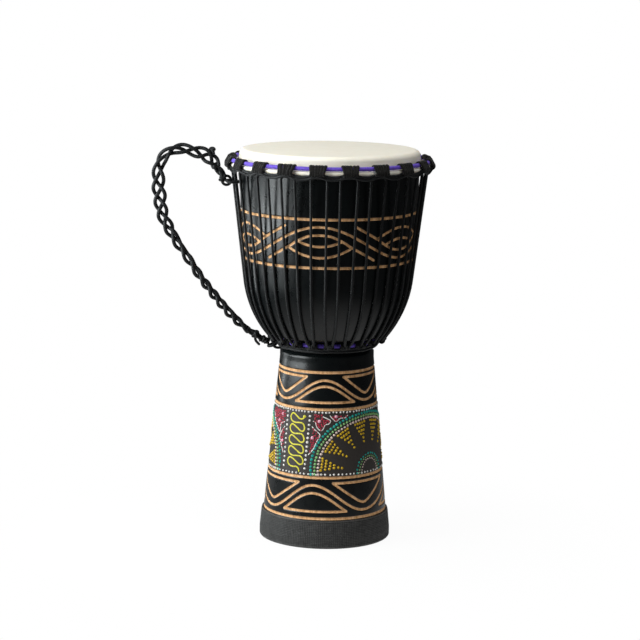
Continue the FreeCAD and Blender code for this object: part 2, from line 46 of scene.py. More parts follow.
# sizes shared with the CAD part
SHELL_OUTLINE = [
    # radius, height, then an arc's radius and the side it bulges to on the way to the next corner
    (78.0, 6.1),
    (96.5, 6.1),
    (94.9, 43.0),
    (72.2, 281.0),
    (72.2, 290.0),
    (66.3, 296.0),
    (66.3, 310.9, 6.0, "left"),
    (72.3, 316.9),
    (88.5, 316.9),
    (92.1, 319.4, 162.8, "right"),
    (125.8, 400.6, 1600.0, "right"),
    (136.5, 591.9, 7.0, "right"),
    (129.5, 598.9),
    (127.5, 598.9),
    (119.0, 588.0, 900.0, "left"),
    (108.0, 402.0, 150.0, "left"),
    (82.0, 338.0),
    (50.0, 305.0),
]
OUTSIDE_CORNERS = (1, 11)
HITCHES = 20
HITCH_STEP = 360 / HITCHES
FIRST_HITCH = -6.8
ROPE = 2.1
THIN_ROPE = 1.9
PLAIT_RIDGES = 5
PLAIT_LENGTH = 3.2
BRAID_STEP = 1.3
CROWN_RING = (150.5, 583.8)
CROWN_WRAP = 3.15
BOTTOM_RING = (75.2, 308.6)
BOTTOM_WRAP = 3.1
LOW_WAIST = 299.2
HANDLE_ANGLE = -78.8
HANDLE_ROUTE = [
    (174, 0, 574), (182, 0, 589), (206, 1, 597), (232, 2, 603), (252, 2, 594), (264, 1, 573),
    (258, -1, 511), (251, -2, 490), (235, -2, 466), (211, -1, 432), (197, 0, 408),
    (166, 1, 369), (140, 1, 340), (122, 0, 323),
]


# ---- mesh building blocks
def ring_point(radius, angle, height):
    """Points at a distance from the drum's axis, an angle from the front and a height."""
    turn = np.radians(angle)
    parts = np.broadcast_arrays(radius * np.sin(turn), -radius * np.cos(turn), height)
    return np.stack(parts, axis=-1)


def unit(vectors):
    return vectors / np.linalg.norm(vectors, axis=-1, keepdims=True)


def lengths_along(line):
    """How far along a line of points each of them is."""
    return np.concatenate([[0], np.cumsum(np.linalg.norm(np.diff(line, axis=0), axis=1))])


def resampled(line, spacing, rounding=int):
    """How far along a line its evenly spaced points are, and the points."""
    along = lengths_along(line)
    at = np.linspace(0, along[-1], max(2, rounding(along[-1] / spacing)))
    return at, np.stack([np.interp(at, along, part) for part in line.T], -1)


def grid_quads(rows, columns, closed_rows=False):
    """Quads of a grid that is closed across its columns, and their UV corners in grid steps."""
    row, column = np.meshgrid(np.arange(rows - 1 + closed_rows), np.arange(columns), indexing="ij")
    steps = np.stack([np.stack([column + right, row + up], -1)
                      for right, up in ((0, 0), (1, 0), (1, 1), (0, 1))], axis=-2)
    quads = steps[..., 1] % rows * columns + steps[..., 0] % columns
    return quads.reshape(-1, 4), steps.reshape(-1, 4, 2).astype(float)


def end_caps(rows, sides):
    """Quads that close the first and last rows of a grid with an even number of sides."""
    cap = np.array([(k, k + 1, sides - 2 - k, sides - 1 - k) for k in range(sides // 2 - 1)])
    return np.vstack([cap, (cap + (rows - 1) * sides)[:, ::-1]])


def smooth_curve(points, steps, closed=False):
    """Curve through given points, with that many steps from one to the next."""
    points = np.asarray(points, float)
    if closed:
        padded = np.vstack([points[-1:], points, points[:2]])
    else:
        padded = np.vstack([2 * points[:1] - points[1:2], points, 2 * points[-1:] - points[-2:-1]])
    t = np.arange(steps)[:, None] / steps
    parts = []
    for a, b, c, d in zip(padded, padded[1:], padded[2:], padded[3:]):
        parts.append(0.5 * (2 * b + (c - a) * t + (2 * a - 5 * b + 4 * c - d) * t ** 2
                            + (3 * b - a - 3 * c + d) * t ** 3))
    if not closed:
        parts.append(points[-1:])
    return np.vstack(parts)


def add_object(name, data):
    item = bpy.data.objects.new(name, data)
    bpy.context.scene.collection.objects.link(item)
    return item


class Piece:
    """Gathers closed surfaces into one mesh."""

    def __init__(self):
        self.points = []
        self.quads = []
        self.corners = []
        self.count = 0

    def add(self, points, quads, corners=None):
        """Add a closed surface; its faces are turned outwards."""
        if corners is None:
            corners = np.zeros((len(quads), 4, 2))
        a, b, c, d = (points[quads[:, k]] for k in range(4))
        volume = (np.cross(a, b) * c).sum() + (np.cross(a, c) * d).sum()
        if volume < 0:
            quads = quads[:, ::-1]
            corners = corners[:, ::-1]
        self.points.append(points)
        self.quads.append(quads + self.count)
        self.corners.append(corners)
        self.count += len(points)

    def make(self, name, replaces=(), body="drum", slot="black_rope", materials=(), sharp=50.0):
        """Object of all that was added, black rope on the drum unless it is said to be otherwise."""
        mesh = bpy.data.meshes.new(name)
        points = np.concatenate(self.points) * MM
        quads = np.concatenate(self.quads)
        mesh.from_pydata(points.tolist(), [], quads.tolist())
        layer = mesh.uv_layers.new(name="UVMap")
        layer.data.foreach_set("uv", np.concatenate(self.corners).astype(np.float32).ravel())
        mesh.polygons.foreach_set("use_smooth", np.ones(len(quads), bool))
        mesh.set_sharp_from_angle(angle=math.radians(sharp))
        for material in materials or [ROPE_BLACK]:
            mesh.materials.append(material)
        item = add_object(name, mesh)
        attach(item, body)
        if replaces:
            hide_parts(*replaces)
        return item


def store(item, name, values):
    """Keep a number at each point of a mesh, for its material to read."""
    layer = item.data.attributes.new(name, "FLOAT", "POINT")
    layer.data.foreach_set("value", values.astype(np.float32).ravel())


def tube(piece, path, across, wide, high, sides=10, closed=False, relief=None):
    """Rope or line of elliptic section: wide along the across vectors and high square to them.

    UV runs once round the section and in millimetres along the path.
    """
    path = np.asarray(path, float)
    if closed:
        ahead = unit(np.roll(path, -1, axis=0) - np.roll(path, 1, axis=0))
    else:
        ahead = unit(np.gradient(path, axis=0))
    across = np.broadcast_to(across, path.shape)
    side = unit(across - (across * ahead).sum(1, keepdims=True) * ahead)
    normal = np.cross(ahead, side)
    if closed:
        size = np.ones(len(path))
    else:  # two smaller sections round off each end
        rows = [0, 0, *range(len(path)), -1, -1]
        size = np.ones(len(rows))
        size[[0, 1, -2, -1]] = (0.4, 0.82, 0.82, 0.4)
        past = np.zeros(len(rows))
        past[[0, 1, -2, -1]] = (-0.85, -0.45, 0.45, 0.85)
        path = path[rows] + ahead[rows] * (past * min(wide, high))[:, None]
        side, normal = side[rows], normal[rows]
    along = lengths_along(path)
    turn = np.arange(sides) * 2 * np.pi / sides
    size = size[:, None] * np.ones(sides)
    if relief:
        size = size * (1 + relief(along[:, None], turn / (2 * np.pi)))
    points = (path[:, None]
              + (wide * size * np.cos(turn))[:, :, None] * side[:, None]
              + (high * size * np.sin(turn))[:, :, None] * normal[:, None])
    quads, steps = grid_quads(len(path), sides, closed)
    lengths = np.append(along, along[-1] + np.linalg.norm(path[0] - path[-1]))
    corners = np.stack([steps[..., 0] / sides, lengths[steps[..., 1].astype(int)]], axis=-1)
    if not closed:
        caps = end_caps(len(path), sides)
        quads = np.vstack([quads, caps])
        corners = np.vstack([corners, np.zeros((len(caps), 4, 2))])
    piece.add(points.reshape(-1, 3), quads, corners)


def rope_braid(along, around):
    """Relief of a braided rope: two sets of crossing ridges."""
    first = np.abs(np.sin(np.pi * (PLAIT_RIDGES * around + along / PLAIT_LENGTH)))
    second = np.abs(np.sin(np.pi * (PLAIT_RIDGES * around - along / PLAIT_LENGTH)))
    return 0.05 * first * second - 0.02


def braided_rope(piece, path, across, size, sides=10, closed=False):
    """Round rope with a braided surface."""
    tube(piece, path, across, size, size, sides, closed, rope_braid)


def outline_points(corners, step):
    """Points along a closed outline of straight runs and arcs, and the corner each starts from."""
    points = []
    runs = []
    for index, corner in enumerate(corners):
        start = np.array(corner[:2])
        end = np.array(corners[(index + 1) % len(corners)][:2])
        chord = end - start
        half = np.linalg.norm(chord) / 2
        count = max(1, round(2 * half / step))
        if len(corner) == 2:
            run = start + chord * (np.arange(count)[:, None] / count)
        else:
            radius, bulge = corner[2:]
            count = max(count, 6)
            side = 1 if bulge == "right" else -1
            inward = np.array([-chord[1], chord[0]]) / (2 * half) * side
            centre = (start + end) / 2 + inward * math.sqrt(radius ** 2 - half ** 2)
            first, last = (math.atan2(*(end_point - centre)[::-1]) for end_point in (start, end))
            turn = (last - first + math.pi) % (2 * math.pi) - math.pi
            angles = first + turn * np.arange(count) / count
            run = centre + radius * np.stack([np.cos(angles), np.sin(angles)], axis=-1)
        points.append(run)
        runs += [index] * count
    return np.vstack(points), np.array(runs)


def thinned(runs, fine, every):
    """Which points of an outline to keep: fine ones, corners, and one in so many of the others."""
    return fine | (np.arange(len(runs)) % every == 0) | (np.diff(runs, prepend=-1) != 0)


def lathe(radii, heights, columns):
    """Closed outline turned about Z: a row for each point, and a column for each angle or only one."""
    points = ring_point(radii, np.arange(columns) * 360 / columns, heights)
    quads, steps = grid_quads(len(points), columns, closed_rows=True)
    return points.reshape(-1, 3), quads, steps / columns


# ---- materials
def feed(socket, value):
    """Link another node's output to a socket, or set the socket's own value."""
    if isinstance(value, bpy.types.NodeSocket):
        socket.id_data.links.new(value, socket)
    elif socket.type == "RGBA":
        socket.default_value = (*value, 1)
    else:
        socket.default_value = value


def add_node(nodes, kind, inputs, output=0, **settings):
    """An output of a new node, which gets its settings and then its inputs."""
    node = nodes.new("ShaderNode" + kind)
    for setting, value in settings.items():
        setattr(node, setting, value)
    for socket, value in inputs.items():
        feed(node.inputs[socket], value)
    return node.outputs[output]


class Shader:
    """A procedural material built round one Principled shader."""

    def __init__(self, name, **sockets):
        self.material = bpy.data.materials.new(name)
        self.material.use_nodes = True
        self.nodes = self.material.node_tree.nodes
        self.surface = self.nodes["Principled BSDF"]
        self.place = self.nodes.new("ShaderNodeTexCoord").outputs
        for socket, value in sockets.items():
            feed(self.surface.inputs[socket.replace("_", " ")], value)

    def add(self, kind, inputs, output=0, **settings):
        return add_node(self.nodes, kind, inputs, output, **settings)

    def noise(self, scale, detail=4.0, stretch=(1, 1, 1), roughness=0.5):
        """Noise in object coordinates that are stretched along each axis."""
        vector = self.add("Mapping", {"Vector": self.place["Object"], "Scale": stretch})
        return self.add("TexNoise", {"Vector": vector, "Scale": scale, "Detail": detail,
                                     "Roughness": roughness}, "Fac")

    def ramp(self, factor, *stops):
        """Colour ramp; each stop is (position, colour)."""
        ramp = self.nodes.new("ShaderNodeValToRGB")
        elements = ramp.color_ramp.elements
        while len(elements) < len(stops):
            elements.new(1.0)
        for element, (position, colour) in zip(elements, stops):
            element.position = position
            element.color = (*colour, 1)
        feed(ramp.inputs["Fac"], factor)
        return ramp.outputs["Color"]

    def mix(self, factor, first, second):
        """Mix of two colours; sockets 6 and 7 take them and 2 gives the result."""
        return self.add("Mix", {0: factor, 6: first, 7: second}, 2, data_type="RGBA")

    def math(self, operation, first, second=0.0):
        return self.add("Math", {0: first, 1: second}, operation=operation)

    def between(self, value, low, high, to_low=0.0, to_high=1.0):
        return self.add("MapRange", {"Value": value, "From Min": low, "From Max": high,
                                     "To Min": to_low, "To Max": to_high})

    def attribute(self, name):
        return self.add("Attribute", {}, "Fac", attribute_name=name)

    def split(self, coordinates):
        """X, Y and Z of the coordinates of that name."""
        parts = self.nodes.new("ShaderNodeSeparateXYZ")
        feed(parts.inputs[0], self.place[coordinates])
        return list(parts.outputs)

    def finish(self, colour, rough, bump=None):
        """The material, with its colour, roughness and bump (height, strength, distance) fed."""
        feed(self.surface.inputs["Base Color"], colour)
        feed(self.surface.inputs["Roughness"], rough)
        if bump:
            height, strength, distance = bump
            normal = self.add("Bump", {"Height": height, "Strength": strength, "Distance": distance * MM})
            feed(self.surface.inputs["Normal"], normal)
        return self.material


PAINT_LOW = 110.3
PAINT_HIGH = 209.6


def lacquered_wood():
    """Black lacquer, bare wood in the carved lines and matt paint in the band between them."""
    shader = Shader("black_lacquer", Specular_IOR_Level=0.5)
    streaks = shader.noise(260, 5, (1, 1, 0.22), 0.6)
    bare = shader.ramp(streaks, (0.3, (0.42, 0.215, 0.09)), (0.52, (0.68, 0.39, 0.18)),
                       (0.75, (0.86, 0.57, 0.33)))
    cloud = shader.noise(28, 4, (1, 1, 0.5))
    black = shader.ramp(cloud, (0.3, (0.0012, 0.0019, 0.0021)), (0.7, (0.003, 0.0046, 0.0049)))
    speckle = shader.noise(900, 3)
    matt = shader.ramp(speckle, (0.3, (0.026, 0.022, 0.019)), (0.7, (0.042, 0.036, 0.032)))
    height = shader.split("Object")[2]
    above = shader.math("GREATER_THAN", height, PAINT_LOW * MM)
    below = shader.math("LESS_THAN", height, PAINT_HIGH * MM)
    painted = shader.math("MULTIPLY", above, below)
    ragged = shader.between(shader.noise(1400, 2), 0.3, 0.7, -0.22, 0.22)
    edge = shader.math("ADD", shader.attribute("carve"), ragged)
    bare_share = shader.between(edge, 0.25, -0.25)
    gloss = shader.between(shader.noise(90, 5), 0.3, 0.7, 0.25, 0.34)
    rough = shader.mix(painted, gloss, (0.55, 0.55, 0.55))
    grain = shader.math("MULTIPLY", streaks, shader.between(bare_share, 0, 1, 0.2, 1))
    waves = shader.math("MULTIPLY", shader.noise(45, 3, (1, 1, 0.3)), 1.1)
    return shader.finish(shader.mix(bare_share, shader.mix(painted, black, matt), bare),
                         shader.mix(bare_share, rough, (0.75, 0.75, 0.75)),
                         (shader.math("ADD", grain, waves), 0.22, 0.35))


def raw_wood():
    """Unfinished hollowed inside of the drum."""
    shader = Shader("raw_wood")
    grain = shader.noise(140, 6, (1, 1, 0.12), 0.65)
    brown = shader.ramp(grain, (0.3, (0.16, 0.085, 0.04)), (0.7, (0.36, 0.21, 0.11)))
    return shader.finish(brown, 0.8, (grain, 0.6, 0.8))


def foot_rubber():
    """Dark rubber, with painted shade that turns it nearly black in the valleys of its knurling."""
    shader = Shader("knurled_rubber", Specular_IOR_Level=0.4)
    dust = shader.noise(160, 5)
    worn = shader.ramp(dust, (0.3, (0.036, 0.036, 0.035)), (0.7, (0.075, 0.075, 0.072)))
    # painted shade: the knurl valleys are darkened to near black, over the rubber's own worn tone on the
    # ridges
    return shader.finish(shader.mix(shader.attribute("knurl"), worn, (0.006, 0.006, 0.006)),
                         shader.between(dust, 0.3, 0.7, 0.5, 0.62), (shader.noise(1500, 3), 0.3, 0.12))


def goatskin():
    """Shaved pale hide with faint clouds and pores."""
    shader = Shader("goatskin", Specular_IOR_Level=0.35, Subsurface_Weight=0.12,
                    Subsurface_Scale=0.002, Subsurface_Radius=(1.0, 0.7, 0.45))
    cloud = shader.noise(9, 5, (1, 1, 1), 0.55)
    mottle = shader.noise(55, 5, (1, 1, 1), 0.6)
    pale = shader.ramp(cloud, (0.32, (0.82, 0.78, 0.67)), (0.68, (0.89, 0.83, 0.70)))
    warm = shader.ramp(mottle, (0.35, (0.84, 0.79, 0.67)), (0.7, (0.90, 0.87, 0.78)))
    pores = shader.math("ADD", shader.noise(1100, 3), shader.math("MULTIPLY", shader.noise(160, 4), 0.8))
    return shader.finish(shader.mix(0.5, pale, warm), shader.between(mottle, 0.3, 0.7, 0.5, 0.62),
                         (pores, 0.3, 0.22))


def ring_steel():
    """Plain rod with a little rust."""
    shader = Shader("ring_steel", Metallic=1.0)
    rust = shader.noise(350, 5)
    return shader.finish(shader.ramp(rust, (0.35, (0.42, 0.42, 0.43)), (0.75, (0.28, 0.25, 0.23))),
                         shader.between(rust, 0.3, 0.7, 0.28, 0.5),
                         (shader.noise(900, 2, (1, 1, 0.2)), 0.2, 0.05))


def purple_cloth():
    """Cloth strip wound round the rings: thread bump across the windings."""
    shader = Shader("purple_cloth", Specular_IOR_Level=0.3, Sheen_Weight=0.35, Sheen_Roughness=0.4,
                    Sheen_Tint=(0.62, 0.5, 1.0))
    around, along = shader.split("UV")[:2]
    thread = shader.math("SINE", shader.math("MULTIPLY", along, 11.0))
    cross = shader.math("SINE", shader.math("MULTIPLY", around, 75.0))
    weave = shader.math("MULTIPLY", thread, cross)
    fade = shader.noise(220, 4)
    dye = shader.ramp(fade, (0.3, (0.12, 0.068, 0.47)), (0.7, (0.18, 0.112, 0.66)))
    colour = shader.mix(shader.between(weave, -1, 1, 0, 0.35), dye, (0.05, 0.028, 0.24))
    return shader.finish(colour, 0.72, (weave, 0.4, 0.12))


def fuzzy_rope():
    """Worn black rope whose fibres stand out; its low places are darkened as painted shade."""
    shader = Shader("fuzzy_black_rope", Specular_IOR_Level=0.25, Sheen_Weight=0.12, Sheen_Roughness=0.5)
    around, along = shader.split("UV")[:2]
    fibres = shader.noise(1700, 4, (1, 1, 0.5), 0.7)
    tufts = shader.noise(420, 4)
    rows = shader.math("SINE", shader.math("MULTIPLY", shader.math("ADD", along, tufts), 5.5))
    strand = shader.math("SINE", shader.math("MULTIPLY", around, 30.0))
    weave = shader.math("ADD", rows, shader.math("MULTIPLY", strand, 0.5))
    height = shader.math("ADD", shader.math("ADD", fibres, tufts), shader.math("MULTIPLY", weave, 0.14))
    # colour follows the bump height: partly the fibres' own uneven tone, partly painted shade that darkens
    # the low places between fibres and plait rows
    colour = shader.ramp(height, (0.7, (0.0012, 0.0011, 0.001)), (1.3, (0.0085, 0.0075, 0.0065)))
    return shader.finish(colour, 0.85, (height, 0.9, 0.7))


def black_rope():
    """Braided black cord: crossing plaits round the rope, with painted shade in the grooves between them.
    """
    shader = Shader("black_rope", Specular_IOR_Level=0.42, Sheen_Weight=0.12, Sheen_Roughness=0.35)
    around, along = shader.split("UV")[:2]
    turns = shader.math("MULTIPLY", around, math.pi * PLAIT_RIDGES)
    lengths = shader.math("MULTIPLY", along, math.pi / PLAIT_LENGTH)
    first, second = (shader.math("ABSOLUTE", shader.math("SINE", shader.math(way, turns, lengths)))
                     for way in ("ADD", "SUBTRACT"))
    plait = shader.math("MULTIPLY", first, second)
    dye = shader.ramp(shader.noise(120, 4), (0.3, (0.0065, 0.007, 0.0073)), (0.7, (0.014, 0.0155, 0.016)))
    # painted shade: the colour darkens towards near black where the plait is low, in the grooves between
    # its ridges
    return shader.finish(shader.mix(shader.between(plait, 0, 0.6, 0.6, 0.0), dye, (0.003, 0.003, 0.0035)),
                         shader.between(plait, 0, 1, 0.62, 0.45), (plait, 0.25, 0.2))


def paint(name, colour):
    """Thick dot paint: glossy, a little uneven in tone."""
    shader = Shader(name, Specular_IOR_Level=0.4)
    tone = shader.noise(420, 3)
    dark = tuple(0.72 * part for part in colour)
    return shader.finish(shader.ramp(tone, (0.3, dark), (0.65, colour)),
                         shader.between(tone, 0.3, 0.7, 0.35, 0.5), (shader.noise(1500, 2), 0.25, 0.1))


LACQUER = lacquered_wood()
RAW_WOOD = raw_wood()
RUBBER = foot_rubber()
SKIN = goatskin()
STEEL = ring_steel()
CLOTH = purple_cloth()
ROPE_BLACK = black_rope()
ROPE_FUZZY = fuzzy_rope()


# ---- carved pattern of the shell
STEM_LOW = np.array([94.9, 43.0])
STEM_HIGH = np.array([72.2, 281.0])
STEM_TAPER = (STEM_LOW[0] - STEM_HIGH[0]) / (STEM_HIGH[1] - STEM_LOW[1])


def stem_radius(height):
    """Outside radius of the straight cone between the foot and the collar."""
    return STEM_LOW[0] - STEM_TAPER * (np.asarray(height, float) - STEM_LOW[1])


def bowl_lines():
    """Interlaced eyes between the two rings of the bowl, as (angle, height) lines."""
    middle, swing = 471.2, 25.2
    eyes, eye_step, first_eye = 6, 60.0, -6.0
    spread = np.arange(0, 361, 2.0)
    lines = [np.stack([spread + first_eye, middle + swing * np.cos(np.pi * spread / eye_step)], -1)]
    arch = [(0, 13), (6.8, 11.5), (12.5, 6.2), (16.8, 0.8), (20.5, -4.9), (31.2, -18.4), (36.8, -25.6)]
    arch = smooth_curve([(-u, rise) for u, rise in arch[:0:-1]] + arch, 5)
    for eye in range(eyes):
        centre = first_eye + eye * eye_step
        flip = 1 if eye % 2 == 0 else -1
        lines.append(np.stack([centre + arch[:, 0], middle + flip * arch[:, 1]], -1))
        for half, low, rise in ((14.5, -4.2, 8.0), (21.2, -21.0, 15.2)):
            u = np.linspace(-half, half, 13)
            lines.append(np.stack([centre + u, middle + flip * (low + rise * (u / half) ** 2)], -1))
    return lines


def closed_line(line, count):
    """A line with its end joined to its start by so many points."""
    return np.vstack([line, np.linspace(line[-1], line[0], count)])


def stem_lines(middle, swing, crest, troughs, base, drop, arch_low, arch_top, slope):
    """A wave round the stem, with an arched shape in each of its hollows."""
    back = (360 - (troughs[1] - troughs[0])) / 4
    knots = [troughs[0], crest, troughs[1], troughs[1] + back, troughs[1] + 2 * back,
             troughs[1] + 3 * back, troughs[0] + 360]
    wave = []
    t = np.linspace(0, 1, 28)
    for index, (start, end) in enumerate(zip(knots, knots[1:])):
        way = 1 if index % 2 else -1
        wave.append(np.stack([start + (end - start) * t, middle + way * swing * np.cos(np.pi * t)], -1))
    lines = [np.vstack(wave)]
    share = math.acos((base + drop - middle) / swing) / math.pi
    for index in (1, 3, 5):
        left = (knots[index] - knots[index - 1]) * share
        right = (knots[index + 1] - knots[index]) * share
        t = np.linspace(-1, 1, 25)
        angle = knots[index] + np.where(t < 0, t * left, t * right)
        arch = middle + swing * np.cos(np.pi * share * t) - drop
        lines.append(closed_line(np.stack([angle, arch], -1), 12))
    bend = 5
    half = math.sqrt((arch_top - arch_low + bend) ** 2 - bend ** 2) / slope
    for index in (0, 2, 4):
        v = np.linspace(-half, half, 31)
        cup = arch_low - bend + np.sqrt(bend ** 2 + (slope * v) ** 2)
        lines.append(closed_line(np.stack([knots[index] + v, cup], -1), 14))
    return lines


CARVED_BANDS = [
    # lowest and highest ring line, and the lines between them
    ((434.9, 507.5), bowl_lines()),
    ((211.6, 267.5), stem_lines(middle=239.4, swing=16.4, crest=-2.0, troughs=(-54.5, 50.5), base=222.2,
                                drop=9.2, arch_low=233.5, arch_top=260.7, slope=1.05)),
    ((45.9, 108.2), stem_lines(middle=76.5, swing=20.0, crest=-12.2, troughs=(-59.0, 39.5), base=56.5,
                               drop=12.0, arch_low=68.0, arch_top=100.0, slope=1.15)),
]
RING_HALF = 2.0  # half the width of a ring line, and then of the other lines
LINE_HALF = 1.8
CARVE_DEPTH = 1.2
FAR = 8.0  # stands for every distance at which nothing is carved


def distance_to_lines(angles, heights, radii, lines):
    """Distance over the surface from each point of a grid to the nearest line."""
    best = np.full((len(heights), len(angles)), FAR)
    window = 9.0  # degrees either side of a short run of a line that it can matter to
    for line in lines:
        for start, end in zip(line, line[1:]):
            off = (angles - (start[0] + end[0]) / 2 + 180) % 360 - 180
            near = np.abs(off) < window
            x = np.radians(off[near])[None, :] * radii[:, None]
            y = (heights - (start[1] + end[1]) / 2)[:, None]
            half_x = np.radians(end[0] - start[0]) / 2 * radii[:, None]
            half_y = (end[1] - start[1]) / 2
            t = np.clip((x * half_x + y * half_y) / (half_x ** 2 + half_y ** 2 + 1e-9), -1, 1)
            away = np.hypot(x - t * half_x, y - t * half_y)
            best[:, near] = np.minimum(best[:, near], away)
    return best


def build_shell():
    """Hollow wooden body, with its outside cut back along the carved lines."""
    columns = 960
    margin = 4
    outline, runs = outline_points(SHELL_OUTLINE, 1.0)
    radii, heights = outline.T
    outside = (runs >= OUTSIDE_CORNERS[0]) & (runs <= OUTSIDE_CORNERS[1])
    fine = np.zeros(len(outline), bool)
    for (low, high), _ in CARVED_BANDS:
        fine |= outside & (heights > low - margin) & (heights < high + margin)
    keep = thinned(runs, fine, 4)
    radii, heights, outside, fine = radii[keep], heights[keep], outside[keep], fine[keep]
    angles = np.arange(columns) * 360 / columns
    carve = np.full((len(radii), columns), FAR)
    for (low, high), lines in CARVED_BANDS:
        band = np.flatnonzero(fine & (heights > low - margin) & (heights < high + margin))
        away = distance_to_lines(angles, heights[band], radii[band], lines) - LINE_HALF
        for ring in (low, high):
            away = np.minimum(away, np.abs(heights[band] - ring)[:, None] - RING_HALF)
        carve[band] = away
    inside_line = np.clip(-carve / LINE_HALF, 0, 1)
    depth = CARVE_DEPTH * np.sqrt(1 - (1 - inside_line) ** 2)
    shell = Piece()
    shell.add(*lathe(radii[:, None] - depth, heights[:, None], columns))
    item = shell.make("shell_body", ["shell"], "drum", "lacquered_wood", [LACQUER, RAW_WOOD], 55.0)
    store(item, "carve", carve)
    bare = np.repeat(~outside, columns).astype(np.int32)
    item.data.polygons.foreach_set("material_index", bare)


build_shell()


# ---- rubber foot
def build_foot():
    """Rubber cup with fine ribs and rows on its wall."""
    columns = 1560
    ribs = 220
    row_pitch = 2.5
    skin, groove = 0.3, 0.8
    outline, runs = outline_points([
        (74.0, 0.0),
        (97.5, 0.0, 3.0, "right"),
        (100.5, 3.0),
        (100.5, 13.5),
        (97.9, 40.0),
        (97.1, 42.6),
        (95.05, 42.8),
        (96.65, 6.1),
        (96.65, 5.95),
        (74.0, 5.95),
    ], 0.4)
    wall = (runs >= 1) & (runs <= 4)  # from the bottom's outer edge to the lip
    keep = thinned(runs, wall, 10)
    radii, heights, wall = outline[keep, 0], outline[keep, 1], wall[keep]
    across = np.abs(np.sin(np.pi * ribs * np.arange(columns) / columns))
    down = np.abs(np.sin(np.pi * heights / row_pitch))[:, None]
    edge = np.clip(np.minimum(heights - 2.5, 41.5 - heights), 0, 1) * wall
    valley = edge[:, None] * (1 - np.sqrt(across * down))
    foot = Piece()
    foot.add(*lathe(radii[:, None] + skin - groove * valley, heights[:, None], columns))
    item = foot.make("foot_cup", ["rubber_foot"], "drum", "foot_rubber", [RUBBER], 60.0)
    # the valley depth also drives the painted shade in the rubber's colour
    store(item, "knurl", valley)


build_foot()


# ---- goatskin head
def build_head():
    """Skin over the bearing edge, flared out and folded round the flesh ring, with small pleats."""
    columns = 900
    fold_in, fold_out = 2.55, 3.55
    flat_radius, shoulder, underside, top = 129.5, 591.9, 599.0, 600.0
    flare_in, flare_out = 137.3, 138.3
    almost_centre = 0.01
    ring = np.array([149.6, 576.7])
    ring_radius, ring_height = ring
    flare = math.radians(35)
    down = np.array([math.sin(flare), math.cos(flare)])
    outer_leave = ring - fold_out * down
    inner_leave = ring - fold_in * down
    outline, runs = outline_points([
        (almost_centre, underside),
        (flat_radius, underside, 7.1, "left"),
        (136.6, shoulder),
        (flare_in, outer_leave[1] + (outer_leave[0] - flare_in) * math.tan(flare)),
        (*outer_leave, fold_out, "right"),
        (ring_radius + fold_out, ring_height, fold_out, "right"),
        (ring_radius, ring_height + fold_out),
        (ring_radius, ring_height + fold_in, fold_in, "left"),
        (ring_radius + fold_in, ring_height, fold_in, "left"),
        (*inner_leave,),
        (flare_out, inner_leave[1] + (inner_leave[0] - flare_out) * math.tan(flare)),
        (137.6, shoulder, 8.1, "right"),
        (flat_radius, top),
        (almost_centre, top),
    ], 0.8)
    flat = (runs == 0) | (runs == 12)  # underside and playing surface
    keep = thinned(runs, ~flat, 8)
    radii, heights = outline[keep, 0], outline[keep, 1]
    turn = np.arange(columns) * 2 * np.pi / columns
    pleat = (np.sin(61 * turn + 1.7 * np.sin(7 * turn)) * 0.5 + np.sin(97 * turn + 0.9 * np.sin(5 * turn))
             + 0.8 * np.sin(149 * turn + 2.0 * np.sin(11 * turn)))
    loose = np.clip((592 - heights) / 12, 0, 1) * np.clip((radii - 136) / 4, 0, 1)
    head = Piece()
    head.add(*lathe(radii[:, None], heights[:, None] + 0.16 * loose[:, None] * pleat, columns))
    item = head.make("skin_head", ["drumhead"], "drum", "goatskin", [SKIN])


build_head()


# ---- rings in purple cloth
def build_wrap(name, ring, wrap_radius, windings, replaces):
    """Cloth strip wound helically round a steel ring."""
    radius, height = ring
    steps = windings * 6
    angles = np.arange(steps) * 360 / steps

    def winding(along, around):
        phase = np.pi * (along * windings / (2 * np.pi * radius) + around)
        return 0.045 * np.abs(np.sin(phase)) - 0.04

    wrap = Piece()
    tube(wrap, ring_point(radius, angles, height), ring_point(1.0, angles, 0.0), wrap_radius, wrap_radius,
         14, closed=True, relief=winding)
    wrap.make(name, [replaces], "drum", "purple_cloth", [CLOTH], 60.0)


build_wrap("crown_cloth", CROWN_RING, CROWN_WRAP, 300, "crown_ring_wrap")
build_wrap("bottom_cloth", BOTTOM_RING, BOTTOM_WRAP, 150, "bottom_ring_wrap")
for name in ("crown_ring", "bottom_ring", "flesh_ring"):
    for material_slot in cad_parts[name].material_slots:
        material_slot.material = STEEL


# ---- ropes that run round the drum
def run_rope(piece, radius, height, radius_at_hitch, height_at_hitch):
    """Closed rope round the drum that is drawn up and out at each crown hitch."""
    angles = np.arange(1080) / 3
    near = (0.5 + 0.5 * np.cos(np.radians((angles - FIRST_HITCH) * HITCHES))) ** 1.4
    uneven = 0.2 * np.sin(np.radians(angles * 7)) + 0.15 * np.sin(np.radians(angles * 13))
    path = ring_point(radius + (radius_at_hitch - radius) * near, angles,
                      height + (height_at_hitch - height) * near + uneven)
    braided_rope(piece, path, ring_point(1.0, angles, 0.0), THIN_ROPE, closed=True)


for name, node, runs in (
        ("upper_run_ropes", "upper_run_rope", ((153.1, 571.9, 155.3, 576.8), (153.2, 568.0, 155.7, 572.9))),
        ("waist_run_ropes", "waist_rope", ((74.4, 303.1, 74.5, 303.3), (74.4, 299.3, 74.5, 299.1)))):
    ropes = Piece()
    for run in runs:
        run_rope(ropes, *run)
    ropes.make(name, [f"{node}_1", f"{node}_2"])


# ---- hitches
def ring_strand(piece, centre_angle, offsets, path_points, wide, high):
    """Strand of a hitch in the radial plane; offsets shift each point sideways round the drum."""
    radius, height, shift = smooth_curve(np.column_stack([path_points, offsets]), 6).T
    angles = centre_angle + np.degrees(shift / radius)
    tube(piece, ring_point(radius, angles, height), ring_point(1.0, angles + 90, 0.0), wide, high, 10,
         relief=rope_braid)


def over_ring(ring, hook, angles):
    """Points of a rope that hooks over a ring, as (radius, height)."""
    return [(ring[0] + hook * math.cos(t), ring[1] + hook * math.sin(t)) for t in np.radians(angles)]


